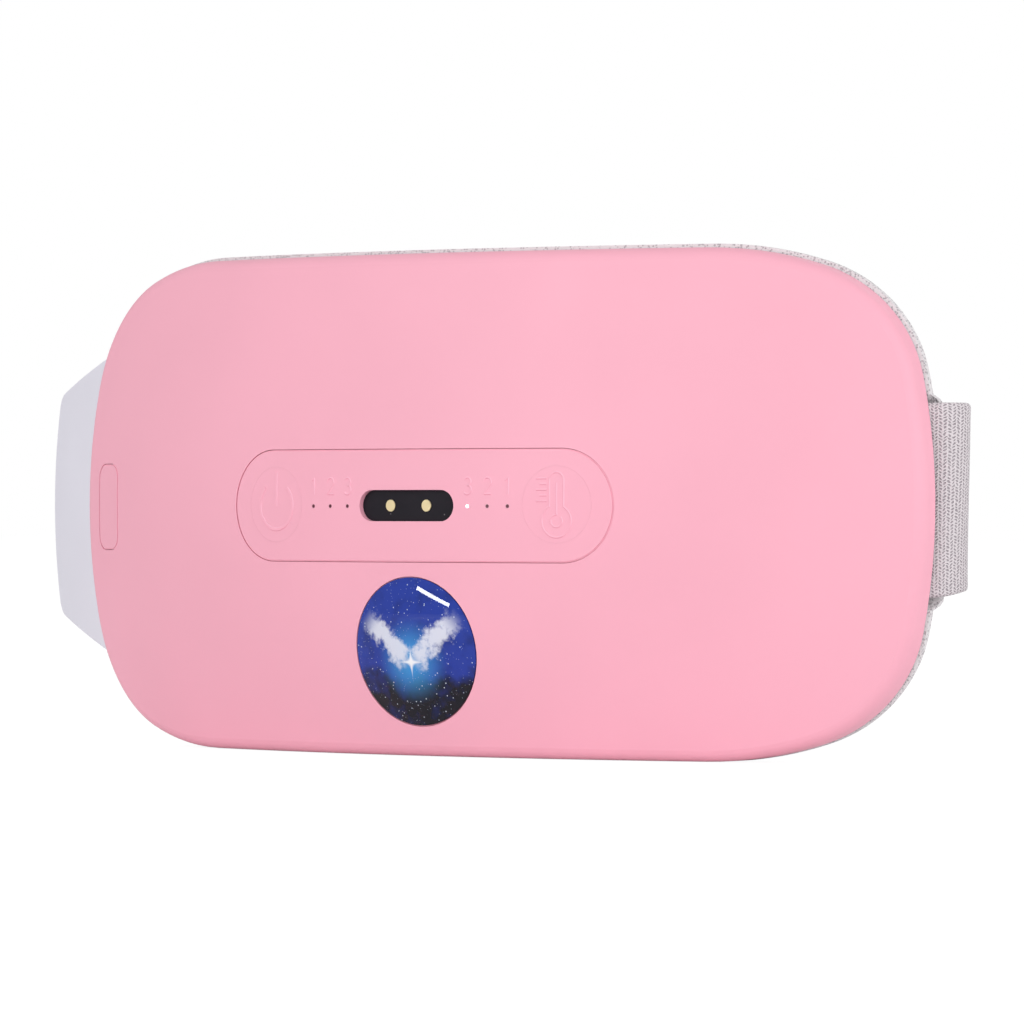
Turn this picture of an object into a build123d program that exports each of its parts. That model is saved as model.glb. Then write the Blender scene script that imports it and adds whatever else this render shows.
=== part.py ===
from build123d import *
import math
import os

# Eye massager mask: a shallow domed front shell with a control strip and a glass
# cabochon, an electronics tray behind it, a soft face cushion, an elastic strap
# that leaves the right end and folds behind, and a hook tab at the left end.
#
# Working frame: the dome's apex is at the origin, +X is the right-hand end as
# seen from the front, the front faces -Y and +Z is up. "Depth" is a distance
# behind the dome surface, measured along +Y.

# ---------------------------------------------------------------- overall sizes
half_width = 95.1
half_height = 45.0
dome_radius = 205.0

# outline of the shell: flat top, shoulder arc, corner arc, bulged end arc
shoulder_radius = 61.0
corner_radius = 26.8
shoulder_turn = 18.8
end_turn = 13.0

# ---------------------------------------------------------------- front shell
shell_wall = 1.6
lip_depth = 4.0
front_round = 2.5
lip_wall = 1.8

# ---------------------------------------------------------------- tray behind it
cover_gap = 0.15
cover_front = 2.6
cover_wall = 1.3
tray_half_width = 66.0
tray_half_height = 32.0
tray_corner = 12.0
tray_depth = 9.5

# ---------------------------------------------------------------- control strip
strip_half_length = 42.9
strip_height = 20.3
strip_depth = 0.8
strip_seat = 0.02
strip_gap = 0.12
panel_drop = 0.2
edge_step = 0.2
edge_step_depth = 0.15
key_reach = 31.8
key_diameter = 13.6
key_gap = 0.02
key_travel = 0.35
stem_diameter = 2.6
stem_gap = 0.3
led_first = 13.6
led_pitch = 4.2
led_diameter = 0.6
led_gap = 0.05
led_drop = 0.3
led_chip_length = 1.6
led_chip_height = 0.8
led_chip_thickness = 0.6
port_length = 21.2
port_height = 5.5
port_gap = 0.05
port_recess = 1.0
port_back = 3.0
contact_diameter = 2.1
contact_gap = 0.01
contact_reach = 4.05
contact_proud = 0.15
magnet_diameter = 3.0
magnet_thickness = 1.2
magnet_reach = 7.6

# ---------------------------------------------------------------- side button
side_button_inset = 8.9
side_button_drop = 0.45
side_button_width = 8.2
side_button_height = 16.0
side_button_depth = 1.2
side_button_gap = 0.1
side_button_corner = 2.6
side_stem_diameter = 2.4
side_travel = 0.3
side_switch_diameter = 5.2

# ---------------------------------------------------------------- glass cabochon
cabochon_x = 0.8
cabochon_drop = 26.3
cabochon_diameter = 26.6
cabochon_gap = 0.25
cabochon_seat = 0.8
cabochon_rise = 1.7
print_thickness = 0.15

# ---------------------------------------------------------------- electronics
board_half_length = 38.0
board_half_height = 9.5
board_thickness = 1.2
board_depth = 6.6
switch_size = 6.0
switch_height = 1.3
plunger_height = 0.35
stop_gap = 0.03
side_switch_height = 0.4
battery_length = 40.0
battery_height = 17.0
battery_thickness = 4.2
battery_rise = 20.5
battery_front = 5.0
battery_edge_round = 1.4
tape_thickness = 0.5
tape_length = 28.0
tape_height = 6.0
tape_inset = 1.5
chips = [(-8.0, 0.0, 7.0, 7.0, 1.0), (8.0, 2.0, 5.0, 4.0, 0.9), (19.0, -4.0, 6.0, 3.0, 1.0)]
post_diameter = 3.0
post_inset_x = 4.0
post_inset_z = 2.5
post_gap = 0.05
motor_x = 50.0
motor_diameter = 6.0
motor_length = 12.0
motor_low = -8.0
motor_gap = 0.3
cradle_wall = 1.6
cradle_inset = 2.0
shaft_diameter = 1.0
shaft_out = 5.6
shaft_gap = 0.04
shaft_seat = 2.9
weight_radius = 2.7
weight_length = 4.0
weight_lift = 0.8
weight_flat = 0.9
lead_diameter = 0.9
film_half_length = 21.0
film_half_height = 12.5
film_thickness = 0.3
film_gap = 0.05
sensor_size = 2.0
sensor_length = 4.0
sensor_thickness = 0.95

# ---------------------------------------------------------------- screws
screw_spots = [(x, z) for x in (-60.0, 60.0) for z in (-24.0, 24.0)]
screw_spots += [(-29.0, -25.0), (29.0, -25.0)]
boss_diameter = 5.0
screw_diameter = 1.8
screw_head_diameter = 3.6
screw_head_height = 1.2
tower_diameter = 6.4
hole_gap = 0.2
seat_depth = 0.6
seat_wall = 1.4

# ---------------------------------------------------------------- face cushion
cushion_front = 4.3
cushion_proud = 0.35
cushion_middle = 21.0
face_radius = 150.0
lobe_length = 24.5
lobe_middle_inset = 8.5
lobe_middle_fall = 1.5
lobe_end_fall = 9.3
lobe_crown_fall = 12.0
soft_gap = 0.4
eye_reach = 32.0
eye_rise = 2.0
eye_half_length = 23.0
eye_half_height = 14.0
eye_floor = 18.2
nose_half_width = 13.0
nose_top = -14.0
nose_floor = 14.6
nose_neck = 4.5
hook_tape_reach = 37.5
hook_tape_length = 90.0
hook_tape_width = 6.0

# ---------------------------------------------------------------- strap and tab
strap_width = 35.0
strap_thickness = 1.7
strap_front = 4.95
strap_length_inside = 17.5
strap_exit_inset = 0.1
strap_turn_radius = 4.0
strap_turn_heading = 150.0
strap_run = 19.0
strap_bend_radius = 20.0
strap_back_heading = 173.0
strap_tail_overlap = 1.2
strap_tail_turn = 59.0
strap_tail_run = 19.0
strap_tail_bend = 23.0
strap_slot_gap = 0.35
tab_front = 4.2
tab_thickness = 1.7
tab_root_inset = 15.5
tab_length = 40.2
tab_root_half = 32.6
tab_tip_half = 20.8
tab_bulge = 1.6
tab_corner = 3.5
patch_start = 21.9
patch_end_inset = 3.3
patch_corner = 2.5
strap_end_inset = 1.0
patch_half_height = 17.0
patch_thickness = 0.9
patch_gap = 0.05
clamp_thickness = 1.0
clamp_length = 7.0
clamp_gap = 0.05
clamp_inset = 1.0
clamp_edge = 4.0
rivet_diameter = 1.8
rivet_head_diameter = 3.2
rivet_head_height = 0.6
rivet_gap = 0.01
strap_rivet_reach = 10.0
tab_rivet_reach = 17.0

# cutters start in front of the dome and end behind everything
NEAR = -5.0
FAR = 120.0


# ================================================================= helpers
def sag(x, z=0.0):
    """Depth of the dome surface below its apex at (x, z)."""
    return dome_radius - math.sqrt(dome_radius ** 2 - x ** 2 - z ** 2)


def behind(depth):
    """Everything that lies deeper than this depth behind the dome surface."""
    return Pos(0, dome_radius + depth, 0) * Sphere(dome_radius)


def layer(front, back):
    """The curved layer between two depths."""
    return behind(front) - behind(back)


def prism(face, near, far):
    """A face drawn at Y = 0, made solid from one Y to another."""
    return Pos(0, near, 0) * extrude(face, far - near, dir=(0, 1, 0))


def block(x0, x1, y0, y1, z0, z1):
    middle = Pos((x0 + x1) / 2, (y0 + y1) / 2, (z0 + z1) / 2)
    return middle * Box(x1 - x0, y1 - y0, z1 - z0)


def rod(x, z, diameter, y0, y1):
    """A round rod along Y."""
    return Pos(x, (y0 + y1) / 2, z) * Rot(90, 0, 0) * Cylinder(diameter / 2, y1 - y0)


def upright(x, y, radius, z0, z1):
    """A round rod along Z."""
    return Pos(x, y, (z0 + z1) / 2) * Cylinder(radius, z1 - z0)


def on_dome(x, z):
    """A plane that lies on the dome at (x, z), its normal pointing out."""
    centre = Vector(0, dome_radius, 0)
    spot = Vector(x, sag(x, z), z)
    normal = (spot - centre).normalized()
    sideways = Vector(0, 0, 1).cross(normal).normalized()
    return Plane(origin=spot, x_dir=sideways, z_dir=normal)


def arc_xz(centre, radius, start, end):
    """An arc in the XZ plane between two angles in degrees."""
    points = []
    for angle in (start, (start + end) / 2, end):
        a = math.radians(angle)
        points.append((centre[0] + radius * math.cos(a), 0, centre[1] + radius * math.sin(a)))
    return ThreePointArc(*points)


def mask_outline(grow=0.0, rise=0.0):
    """The mask's outline, grown or shrunk evenly, as a face at Y = 0."""
    a1 = math.radians(shoulder_turn)
    a3 = math.radians(end_turn)
    drop = shoulder_radius * (1 - math.cos(a1))
    drop += corner_radius * (math.cos(a1) - math.sin(a3))
    end_radius = (half_height - drop) / math.sin(a3)
    c3 = (half_width - end_radius, 0.0)
    step = end_radius - corner_radius
    c2 = (c3[0] + step * math.cos(a3), step * math.sin(a3))
    step = corner_radius - shoulder_radius
    c1 = (c2[0] + step * math.sin(a1), c2[1] + step * math.cos(a1))
    top = half_height + grow
    right = [
        arc_xz((c1[0], -c1[1]), shoulder_radius + grow, -90, shoulder_turn - 90),
        arc_xz((c2[0], -c2[1]), corner_radius + grow, shoulder_turn - 90, -end_turn),
        arc_xz(c3, end_radius + grow, -end_turn, end_turn),
        arc_xz(c2, corner_radius + grow, end_turn, 90 - shoulder_turn),
        arc_xz(c1, shoulder_radius + grow, 90 - shoulder_turn, 90),
    ]
    left = [edge.mirror(Plane.YZ) for edge in right]
    flats = [Line((-c1[0], 0, s * top), (c1[0], 0, s * top)) for s in (-1, 1)]
    face = make_face(Wire.combine(right + left + flats)[0])
    return Pos(0, 0, rise) * face


def flat_pill(length, height):
    """A stadium shape in the XZ plane."""
    return Plane.XZ * SlotOverall(length, height)


def panel_pill(length, height):
    """A stadium shape that sits where the control strip sits."""
    return Pos(0, 0, -panel_drop) * flat_pill(length, height)


def tray_outline(grow=0.0):
    shape = RectangleRounded(2 * (tray_half_width + grow), 2 * (tray_half_height + grow),
                             tray_corner + grow)
    return Plane.XZ * shape


def save(node, shape):
    """Write one node, moved so that the middle of the base is the origin."""
    solids = shape.solids() if not isinstance(shape, list) else shape
    moved = [PLACE * solid for solid in solids]
    whole = moved[0] if len(moved) == 1 else Compound(children=moved)
    whole.label = node
    export_step(whole, f"parts/{node}.step")


# the base face lies between the front rounding and the rim of the lip
base_depth = sag(0, half_height) + (front_round + lip_depth) / 2
PLACE = Pos(0, -base_depth, half_height)

side_button_x = side_button_inset - half_width
strap_depth = strap_front + strap_thickness / 2
strap_start = half_width - strap_length_inside
strap_exit = half_width - strap_exit_inset
strap_clamp_x = strap_start + clamp_length / 2 + clamp_inset
tab_root = tab_root_inset - half_width
tab_tip = tab_root - tab_length
tab_clamp_x = tab_root - clamp_length / 2 - clamp_inset
patch_in = tab_root - patch_start
patch_out = tab_tip + patch_end_inset
strap_tail_x = patch_in + strap_tail_overlap
lobe_start = half_width - lobe_length
lobe_depth = cushion_middle + face_radius - math.sqrt(face_radius ** 2 - lobe_start ** 2)

led_spots = [(side * (led_first + i * led_pitch), -led_drop) for side in (-1, 1) for i in range(3)]
lit_led = led_spots[3]
tray_floor = tray_depth + cover_wall
eye_spots = [(-eye_reach, eye_rise), (eye_reach, eye_rise)]


# ================================================================= front shell
def front_shell():
    body = prism(mask_outline(), NEAR, FAR) & layer(0, lip_depth)
    rim = body.edges().filter_by(lambda e: abs(on_front(e)) < 0.02)
    body = fillet(rim, front_round)
    inside = prism(mask_outline(-lip_wall), NEAR, FAR) & behind(shell_wall)
    body -= inside
    body -= prism(panel_pill(2 * strip_half_length, strip_height), NEAR, tray_depth) - behind(strip_depth)
    body -= port_opening()
    for x in (-key_reach, key_reach):
        body -= rod(x, 0, stem_diameter + 2 * stem_gap, NEAR, tray_depth)
    for x, z in led_spots:
        body -= rod(x, z, led_diameter + 2 * led_gap, NEAR, tray_depth)
    body -= cabochon_pocket()
    body -= side_button_blank(side_button_gap, lip_depth - shell_wall / 2)
    tray = behind(shell_wall / 2) - behind(tray_depth - cover_gap / 3)
    for x, z in screw_spots:
        body += rod(x, z, boss_diameter, 0, FAR) & tray
        body -= rod(x, z, screw_diameter - 0.1, sag(x, z) + shell_wall + 1.0, FAR)
    return body


def on_front(edge):
    """How far the middle of an edge lies from the dome surface."""
    spot = edge @ 0.5
    return spot.Y - sag(spot.X, spot.Z)


def cabochon_pocket():
    plane = on_dome(cabochon_x, -cabochon_drop)
    depth = cabochon_seat + print_thickness
    pocket = Cylinder(cabochon_diameter / 2 + cabochon_gap, 2 * lip_depth,
                      align=(Align.CENTER, Align.CENTER, Align.MIN))
    return plane * Pos(0, 0, -depth) * pocket


def side_button_blank(grow, below):
    """The side button's upright block with rounded corners, standing square to the dome."""
    plane = on_dome(side_button_x, -side_button_drop)
    width, height = side_button_width + 2 * grow, side_button_height + 2 * grow
    face = RectangleRounded(width, height, side_button_corner + grow)
    return plane * Pos(0, 0, -below) * extrude(face, below + 3)


# ================================================================= control strip
def strip_layer(inset, front):
    face = panel_pill(2 * (strip_half_length - inset), strip_height - 2 * inset)
    return prism(face, NEAR, tray_depth) & layer(front, strip_depth - strip_seat)


def control_strip():
    """A thin plate flush with the dome, with a small step round its front edge."""
    strip = strip_layer(strip_gap + edge_step, 0) + strip_layer(strip_gap, edge_step_depth)
    for x in (-key_reach, key_reach):
        strip -= rod(x, 0, key_diameter + 2 * key_gap, NEAR, tray_depth)
    for x, z in led_spots:
        strip -= rod(x, z, led_diameter + 2 * led_gap, NEAR, tray_depth)
    return strip - port_opening()


def port_opening():
    return prism(panel_pill(port_length + 2 * port_gap, port_height + 2 * port_gap), NEAR, tray_depth)


def key(x):
    """A round key cap with the stem that reaches its switch."""
    cap_back = strip_depth - key_travel - stop_gap
    cap = rod(x, 0, key_diameter, NEAR, tray_depth) & layer(0, cap_back)
    plunger_top = board_depth - switch_height - plunger_height
    stem = rod(x, 0, stem_diameter, sag(x) + cap_back / 2, plunger_top - key_travel - stop_gap)
    return cap + stem


def led_window(x, z):
    return rod(x, z, led_diameter, NEAR, board_depth - led_chip_thickness - 0.1) & behind(0)


def port_plate():
    plate = prism(panel_pill(port_length, port_height), NEAR, port_back) & behind(port_recess)
    for x in (-contact_reach, contact_reach):
        plate -= rod(x, -panel_drop, contact_diameter + 2 * contact_gap, NEAR, tray_depth)
    return plate


def port_contacts():
    front = sag(contact_reach) + port_recess - contact_proud
    return [rod(s * contact_reach, -panel_drop, contact_diameter, front, board_depth - 0.02)
            for s in (-1, 1)]


def port_magnets():
    front = port_back + 0.02
    return [rod(s * magnet_reach, -panel_drop, magnet_diameter, front, front + magnet_thickness)
            for s in (-1, 1)]


# ================================================================= side button
def side_button():
    cap = side_button_blank(-edge_step, side_button_depth) & behind(0)
    cap += side_button_blank(0, side_button_depth) & behind(edge_step_depth)
    square_on = math.cos(tilt(side_button_x))
    reach = (cover_front - side_switch_height) * square_on - side_travel - 2 * stop_gap
    stem = Cylinder(side_stem_diameter / 2, reach - 0.3, align=(Align.CENTER, Align.CENTER, Align.MIN))
    return cap + on_dome(side_button_x, -side_button_drop) * Pos(0, 0, -reach) * stem


def side_switch():
    disc = rod(side_button_x, -side_button_drop, side_switch_diameter, NEAR, FAR)
    return disc & layer(cover_front - side_switch_height, cover_front - 0.02)


# ================================================================= glass cabochon
def crystal_dome():
    """Domed glass whose rim lies level with the shell round it."""
    plane = on_dome(cabochon_x, -cabochon_drop)
    radius = cabochon_diameter / 2
    ball = (radius ** 2 + cabochon_rise ** 2) / (2 * cabochon_rise)
    sink = sag(radius)
    cap = Pos(0, 0, cabochon_rise - sink - ball) * Sphere(ball)
    drum = Cylinder(radius, cabochon_rise + cabochon_seat - 0.02,
                    align=(Align.CENTER, Align.CENTER, Align.MIN))
    return plane * ((Pos(0, 0, 0.02 - cabochon_seat) * drum) & cap)


def crystal_backing():
    plane = on_dome(cabochon_x, -cabochon_drop)
    disc = Cylinder(cabochon_diameter / 2, print_thickness - 0.02,
                    align=(Align.CENTER, Align.CENTER, Align.MIN))
    return plane * Pos(0, 0, 0.01 - cabochon_seat - print_thickness) * disc


# ================================================================= electronics
def main_board():
    return block(-board_half_length, board_half_length, board_depth, board_depth + board_thickness,
                 -board_half_height, board_half_height)


def board_chips():
    back = board_depth + board_thickness
    return [block(x - length / 2, x + length / 2, back, back + thick, z - height / 2, z + height / 2)
            for x, z, length, height, thick in chips]


def tact_switches():
    switches = []
    for x in (-key_reach, key_reach):
        top = board_depth - switch_height
        body = block(x - switch_size / 2, x + switch_size / 2, top, board_depth,
                     -switch_size / 2, switch_size / 2)
        switches.append(body + rod(x, 0, switch_size / 2, top - plunger_height, top + 0.1))
    return switches


def led_chips():
    half_length = led_chip_length / 2
    half_rise = led_chip_height / 2
    front = board_depth - led_chip_thickness
    return [block(x - half_length, x + half_length, front, board_depth, z - half_rise, z + half_rise)
            for x, z in led_spots]


def battery():
    half = battery_length / 2
    cell = block(-half, half, battery_front, battery_front + battery_thickness,
                 battery_rise - battery_height / 2, battery_rise + battery_height / 2)
    return fillet(cell.edges().filter_by(Axis.Z), battery_edge_round)


def battery_tape():
    back = battery_front + battery_thickness
    low = battery_rise - battery_height / 2 + tape_inset
    return block(-tape_length / 2, tape_length / 2, back, back + tape_thickness, low, low + tape_height)


def battery_leads():
    low = battery_rise - battery_height / 2
    leads = []
    for x in (-2.0, 2.0):
        y = board_depth + board_thickness + lead_diameter / 2
        leads.append(upright(x, y, lead_diameter / 2, board_half_height - post_inset_z, low))
    return leads


def motor_axis(side):
    """Plan position of a motor's shaft, its can clear of the tray floor by motor_gap."""
    x = side * motor_x
    clear = (motor_diameter / 2 + motor_gap) / math.cos(tilt(x))
    return x, sag(x) + tray_depth - clear


def motor(side):
    x, y = motor_axis(side)
    can = upright(x, y, motor_diameter / 2, motor_low, motor_low + motor_length)
    top = motor_low + motor_length
    return can - upright(x, y, shaft_diameter / 2 + shaft_gap, top - shaft_seat - 0.1, top + 1)


def motor_shaft(side):
    x, y = motor_axis(side)
    top = motor_low + motor_length
    return upright(x, y, shaft_diameter / 2, top - shaft_seat, top + shaft_out)


def motor_weight(side):
    x, y = motor_axis(side)
    low = motor_low + motor_length + weight_lift
    half = upright(x, y, weight_radius, low, low + weight_length)
    half -= block(x - weight_radius, x + weight_radius, y + weight_flat, y + 2 * weight_radius,
                  low - 1, low + weight_length + 1)
    return half - upright(x, y, shaft_diameter / 2 + 0.005, low - 1, low + weight_length + 1)


def motor_leads():
    leads = []
    for side in (-1, 1):
        x, y = motor_axis(side)
        edge = side * (board_half_length - 1.5)
        back = board_depth + board_thickness + lead_diameter / 2
        low = motor_low - lead_diameter / 2 - 0.02
        route = FilletPolyline((x, y, low), (side * (board_half_length + 6), y, low),
                               (edge, back, low), radius=3)
        ring = Plane(origin=route @ 0, z_dir=route % 0) * Circle(lead_diameter / 2)
        leads.append(sweep(ring, path=route))
    return leads


def heating_films():
    films = []
    for x, z in eye_spots:
        oval = Pos(x, 0, z) * (Plane.XZ * Ellipse(film_half_length, film_half_height))
        face = tray_floor + film_gap
        films.append(prism(oval, NEAR, FAR) & layer(face, face + film_thickness))
    return films


def temperature_sensor():
    y = sag(0, eye_rise) + tray_floor + film_gap
    return block(-sensor_length / 2, sensor_length / 2, y, y + sensor_thickness,
                 eye_rise - sensor_size / 2, eye_rise + sensor_size / 2)


# ================================================================= back cover
def back_cover():
    plate = prism(mask_outline(-lip_wall - cover_gap), NEAR, FAR) & layer(cover_front, lip_depth - 0.1)
    hollow = prism(tray_outline(), NEAR, FAR) - behind(tray_depth)
    tub = (prism(tray_outline(cover_wall), NEAR, FAR) & layer(cover_front, tray_floor))
    cover = plate + tub - hollow
    for x, z in screw_spots:
        seat = screw_seat(x, z)
        cover += rod(x, z, tower_diameter, sag(x, z) + tray_depth + cover_wall / 3, seat + seat_wall)
        cover -= rod(x, z, screw_head_diameter + 2 * hole_gap, seat, FAR)
        cover -= rod(x, z, screw_diameter + 2 * hole_gap, 0, FAR)
        cover -= (rod(x, z, boss_diameter + 4 * soft_gap, 0, FAR) - behind(tray_depth))
    for x in (post_inset_x - board_half_length, board_half_length - post_inset_x):
        for z in (post_inset_z - board_half_height, board_half_height - post_inset_z):
            post = rod(x, z, post_diameter, board_depth + board_thickness + post_gap, FAR)
            cover += post - behind(tray_depth + cover_wall / 2)
    for side in (-1, 1):
        x, y = motor_axis(side)
        half = motor_diameter / 2 + cradle_wall
        cradle = block(x - half, x + half, y, y + half + cover_wall,
                       motor_low + cradle_inset, motor_low + motor_length - cradle_inset)
        cradle -= upright(x, y, motor_diameter / 2 + 0.02, motor_low - 1, motor_low + motor_length + 1)
        cover += cradle - behind(tray_floor - cover_wall / 2)
        cover -= upright(x, y, weight_radius + motor_gap, motor_low + motor_length,
                         motor_low + motor_length + shaft_out + 1)
    for z in (-strap_rivet_reach, strap_rivet_reach):
        cover -= rod(strap_clamp_x, z, rivet_diameter + 2 * rivet_gap, 0, FAR)
    for z in (-tab_rivet_reach, tab_rivet_reach):
        cover -= rod(tab_clamp_x, z, rivet_diameter + 2 * rivet_gap, 0, FAR)
    return cover


def screw_seat(x, z):
    """Where a screw's head rests, as a distance along Y."""
    return sag(x, z) + tray_floor + seat_depth


def housing_screws():
    screws = []
    for x, z in screw_spots:
        seat = screw_seat(x, z)
        shank = rod(x, z, screw_diameter - 0.1, sag(x, z) + shell_wall + 1.6, seat + 0.2)
        head = rod(x, z, screw_head_diameter, seat, seat + screw_head_height)
        cross = rod(x, z, screw_diameter - hole_gap, seat + screw_head_height / 2, FAR)
        screws.append(shank + head - cross)
    return screws


# ================================================================= strap
def strap_side(offset):
    """One face of the strap in plan, a distance to the left of its middle line."""
    edges = []
    middle = dome_radius + strap_depth

    def spot(point, heading):
        a = math.radians(heading)
        return Vector(point[0] - offset * math.sin(a), point[1] + offset * math.cos(a))

    def heading_vector(heading):
        a = math.radians(heading)
        return Vector(math.cos(a), math.sin(a))

    def turn(point, heading, radius, angle):
        """Add an arc and return where its middle line ends."""
        sign = 1 if angle > 0 else -1
        edges.append(JernArc(spot(point, heading), heading_vector(heading),
                             radius - sign * offset, angle))
        h0 = math.radians(heading)
        h1 = math.radians(heading + angle)
        x = point[0] + sign * radius * (math.sin(h1) - math.sin(h0))
        y = point[1] - sign * radius * (math.cos(h1) - math.cos(h0))
        return (x, y), heading + angle

    def run(point, heading, length):
        end = (point[0] + length * math.cos(math.radians(heading)),
               point[1] + length * math.sin(math.radians(heading)))
        edges.append(Line(spot(point, heading), spot(end, heading)))
        return end, heading

    # from the clamp, out of the slot, round the end of the cushion and back
    h = math.degrees(math.asin(strap_start / dome_radius))
    h_exit = math.degrees(math.asin(strap_exit / dome_radius))
    p = (strap_start, middle - math.sqrt(dome_radius ** 2 - strap_start ** 2))
    p, h = turn(p, h, dome_radius, h_exit - h)
    p, h = turn(p, h, strap_turn_radius, strap_turn_heading - h)
    p, h = run(p, h, strap_run)
    p, h = turn(p, h, strap_bend_radius, strap_back_heading - h)
    before = (p, h)

    # the loop end that lies on the hook patch, followed backwards to the cushion
    over = dome_radius + patch_face() + sag(0, strap_width / 2) + soft_gap + strap_thickness / 2
    h_in = 180 - math.degrees(math.asin(-strap_tail_x / dome_radius))
    h_out = 180 - math.degrees(math.asin(-(patch_out + strap_end_inset) / dome_radius))
    h_slope = h_in + strap_tail_turn
    h_after = h_slope - strap_tail_bend
    tail = (strap_tail_x, over - math.sqrt(dome_radius ** 2 - strap_tail_x ** 2))
    low = arc_start(tail, strap_turn_radius, h_slope, h_in)
    high = (low[0] - strap_tail_run * math.cos(math.radians(h_slope)),
            low[1] - strap_tail_run * math.sin(math.radians(h_slope)))
    after = arc_start(high, strap_bend_radius, h_after, h_slope)
    edges.append(Spline([spot(*before), spot(after, h_after)],
                        tangents=[heading_vector(before[1]), heading_vector(h_after)]))
    p, h = turn(after, h_after, strap_bend_radius, strap_tail_bend)
    p, h = run(p, h, strap_tail_run)
    p, h = turn(p, h, strap_turn_radius, -strap_tail_turn)
    p, h = turn(p, h, dome_radius, h_out - h_in)
    return edges


def arc_start(end, radius, start_heading, end_heading):
    """Where an arc starts that ends at a known point."""
    sign = 1 if end_heading > start_heading else -1
    h0 = math.radians(start_heading)
    h1 = math.radians(end_heading)
    return (end[0] - sign * radius * (math.sin(h1) - math.sin(h0)),
            end[1] + sign * radius * (math.cos(h1) - math.cos(h0)))


def patch_face():
    return tab_front + tab_thickness + patch_gap + patch_thickness


def strap_blank(thickness, height):
    inner = strap_side(thickness / 2)
    outer = strap_side(-thickness / 2)
    ends = [Line(inner[0] @ 0, outer[0] @ 0), Line(inner[-1] @ 1, outer[-1] @ 1)]
    face = make_face(Wire.combine(inner + outer + ends)[0])
    return Pos(0, 0, -height / 2) * extrude(face, height, dir=(0, 0, 1))


def strap():
    band = strap_blank(strap_thickness, strap_width)
    hole_end = sag(strap_clamp_x) + strap_depth + strap_turn_radius
    for z in (-strap_rivet_reach, strap_rivet_reach):
        band -= rod(strap_clamp_x, z, rivet_diameter + hole_gap / 2, 0, hole_end)
    return band


def strap_clamp():
    x = strap_clamp_x
    lean = tilt(x)
    plane = Plane(origin=(x, sag(x) + strap_depth, 0), x_dir=(math.cos(lean), math.sin(lean), 0),
                  z_dir=(-math.sin(lean), math.cos(lean), 0))
    plate = Box(clamp_length, strap_width - clamp_edge, clamp_thickness,
                align=(Align.CENTER, Align.CENTER, Align.MIN))
    plate = plane * Pos(0, 0, strap_thickness / 2 + 2 * clamp_gap) * plate
    for z in (-strap_rivet_reach, strap_rivet_reach):
        plate -= rod(x, z, rivet_diameter + 2 * rivet_gap, 0, FAR)
    return plate


def tilt(x):
    return math.asin(x / dome_radius)


def strap_rivets():
    x = strap_clamp_x
    back = sag(x) + strap_depth + strap_thickness / 2 + clamp_thickness + 1.1
    rivets = []
    for z in (-strap_rivet_reach, strap_rivet_reach):
        shank = rod(x, z, rivet_diameter, sag(x, z) + cover_front + 0.1, back)
        head = rod(x, z, rivet_head_diameter, back, back + rivet_head_height)
        rivets.append(shank + head)
    return rivets


# ================================================================= hook tab
def tab_outline(grow=0.0):
    slant = (tab_root_half - tab_tip_half) / (tab_root - tab_tip)
    root = tab_root + grow
    root_half = tab_root_half + grow + grow * slant
    tip = tab_tip - grow
    tip_half = tab_tip_half + grow - grow * slant
    edges = [
        Line((root, 0, -root_half), (root, 0, root_half)),
        Line((root, 0, root_half), (tip, 0, tip_half)),
        ThreePointArc((tip, 0, tip_half), (tip - tab_bulge, 0, 0), (tip, 0, -tip_half)),
        Line((tip, 0, -tip_half), (root, 0, -root_half)),
    ]
    return make_face(Wire.combine(edges)[0])


def hook_tab():
    blank = prism(tab_outline(), NEAR, FAR)
    corners = blank.edges().filter_by(Axis.Y).sort_by(Axis.X)[:2]
    blank = fillet(corners, tab_corner)
    tab = blank & layer(tab_front, tab_front + tab_thickness)
    for z in (-tab_rivet_reach, tab_rivet_reach):
        tab -= rod(tab_clamp_x, z, rivet_diameter + hole_gap / 2, 0, FAR)
    return tab


def hook_patch():
    shape = RectangleRounded(patch_in - patch_out, 2 * patch_half_height, patch_corner)
    shape = Pos((patch_in + patch_out) / 2, 0, 0) * (Plane.XZ * shape)
    face = tab_front + tab_thickness + patch_gap
    return prism(shape, NEAR, FAR) & layer(face, face + patch_thickness)


def tab_clamp():
    shape = Plane.XZ * Rectangle(clamp_length, 2 * (tab_root_half - clamp_edge))
    face = tab_front + tab_thickness + clamp_gap
    plate = prism(Pos(tab_clamp_x, 0, 0) * shape, NEAR, FAR) & layer(face, face + clamp_thickness)
    for z in (-tab_rivet_reach, tab_rivet_reach):
        plate -= rod(tab_clamp_x, z, rivet_diameter + 2 * rivet_gap, 0, FAR)
    return plate


def tab_rivets():
    x = tab_clamp_x
    rivets = []
    for z in (-tab_rivet_reach, tab_rivet_reach):
        back = sag(x, z) + tab_front + tab_thickness + clamp_gap + clamp_thickness + 0.85
        shank = rod(x, z, rivet_diameter, sag(x, z) + cover_front + 0.1, back)
        head = rod(x, z, rivet_head_diameter, back, back + rivet_head_height)
        rivets.append(shank + head)
    return rivets


# ================================================================= face cushion
def cushion_profile():
    """The cushion's rear in plan: hollow for the face, with a rounded lobe at each end."""
    edge = half_width + cushion_proud
    start = (lobe_start, lobe_depth)
    middle = (half_width - lobe_middle_inset, lobe_depth - lobe_middle_fall)
    end = (edge, lobe_depth - lobe_end_fall)
    right = [ThreePointArc(start, middle, end), Line(end, (edge, NEAR))]
    left = [line.mirror(Plane.YZ) for line in right]
    hollow = ThreePointArc((-start[0], start[1]), (0, cushion_middle), start)
    front = Line((-edge, NEAR), (edge, NEAR))
    face = make_face(Wire.combine(right + left + [hollow, front])[0])
    return Pos(0, 0, -FAR / 2) * extrude(face, FAR, dir=(0, 0, 1))


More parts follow.
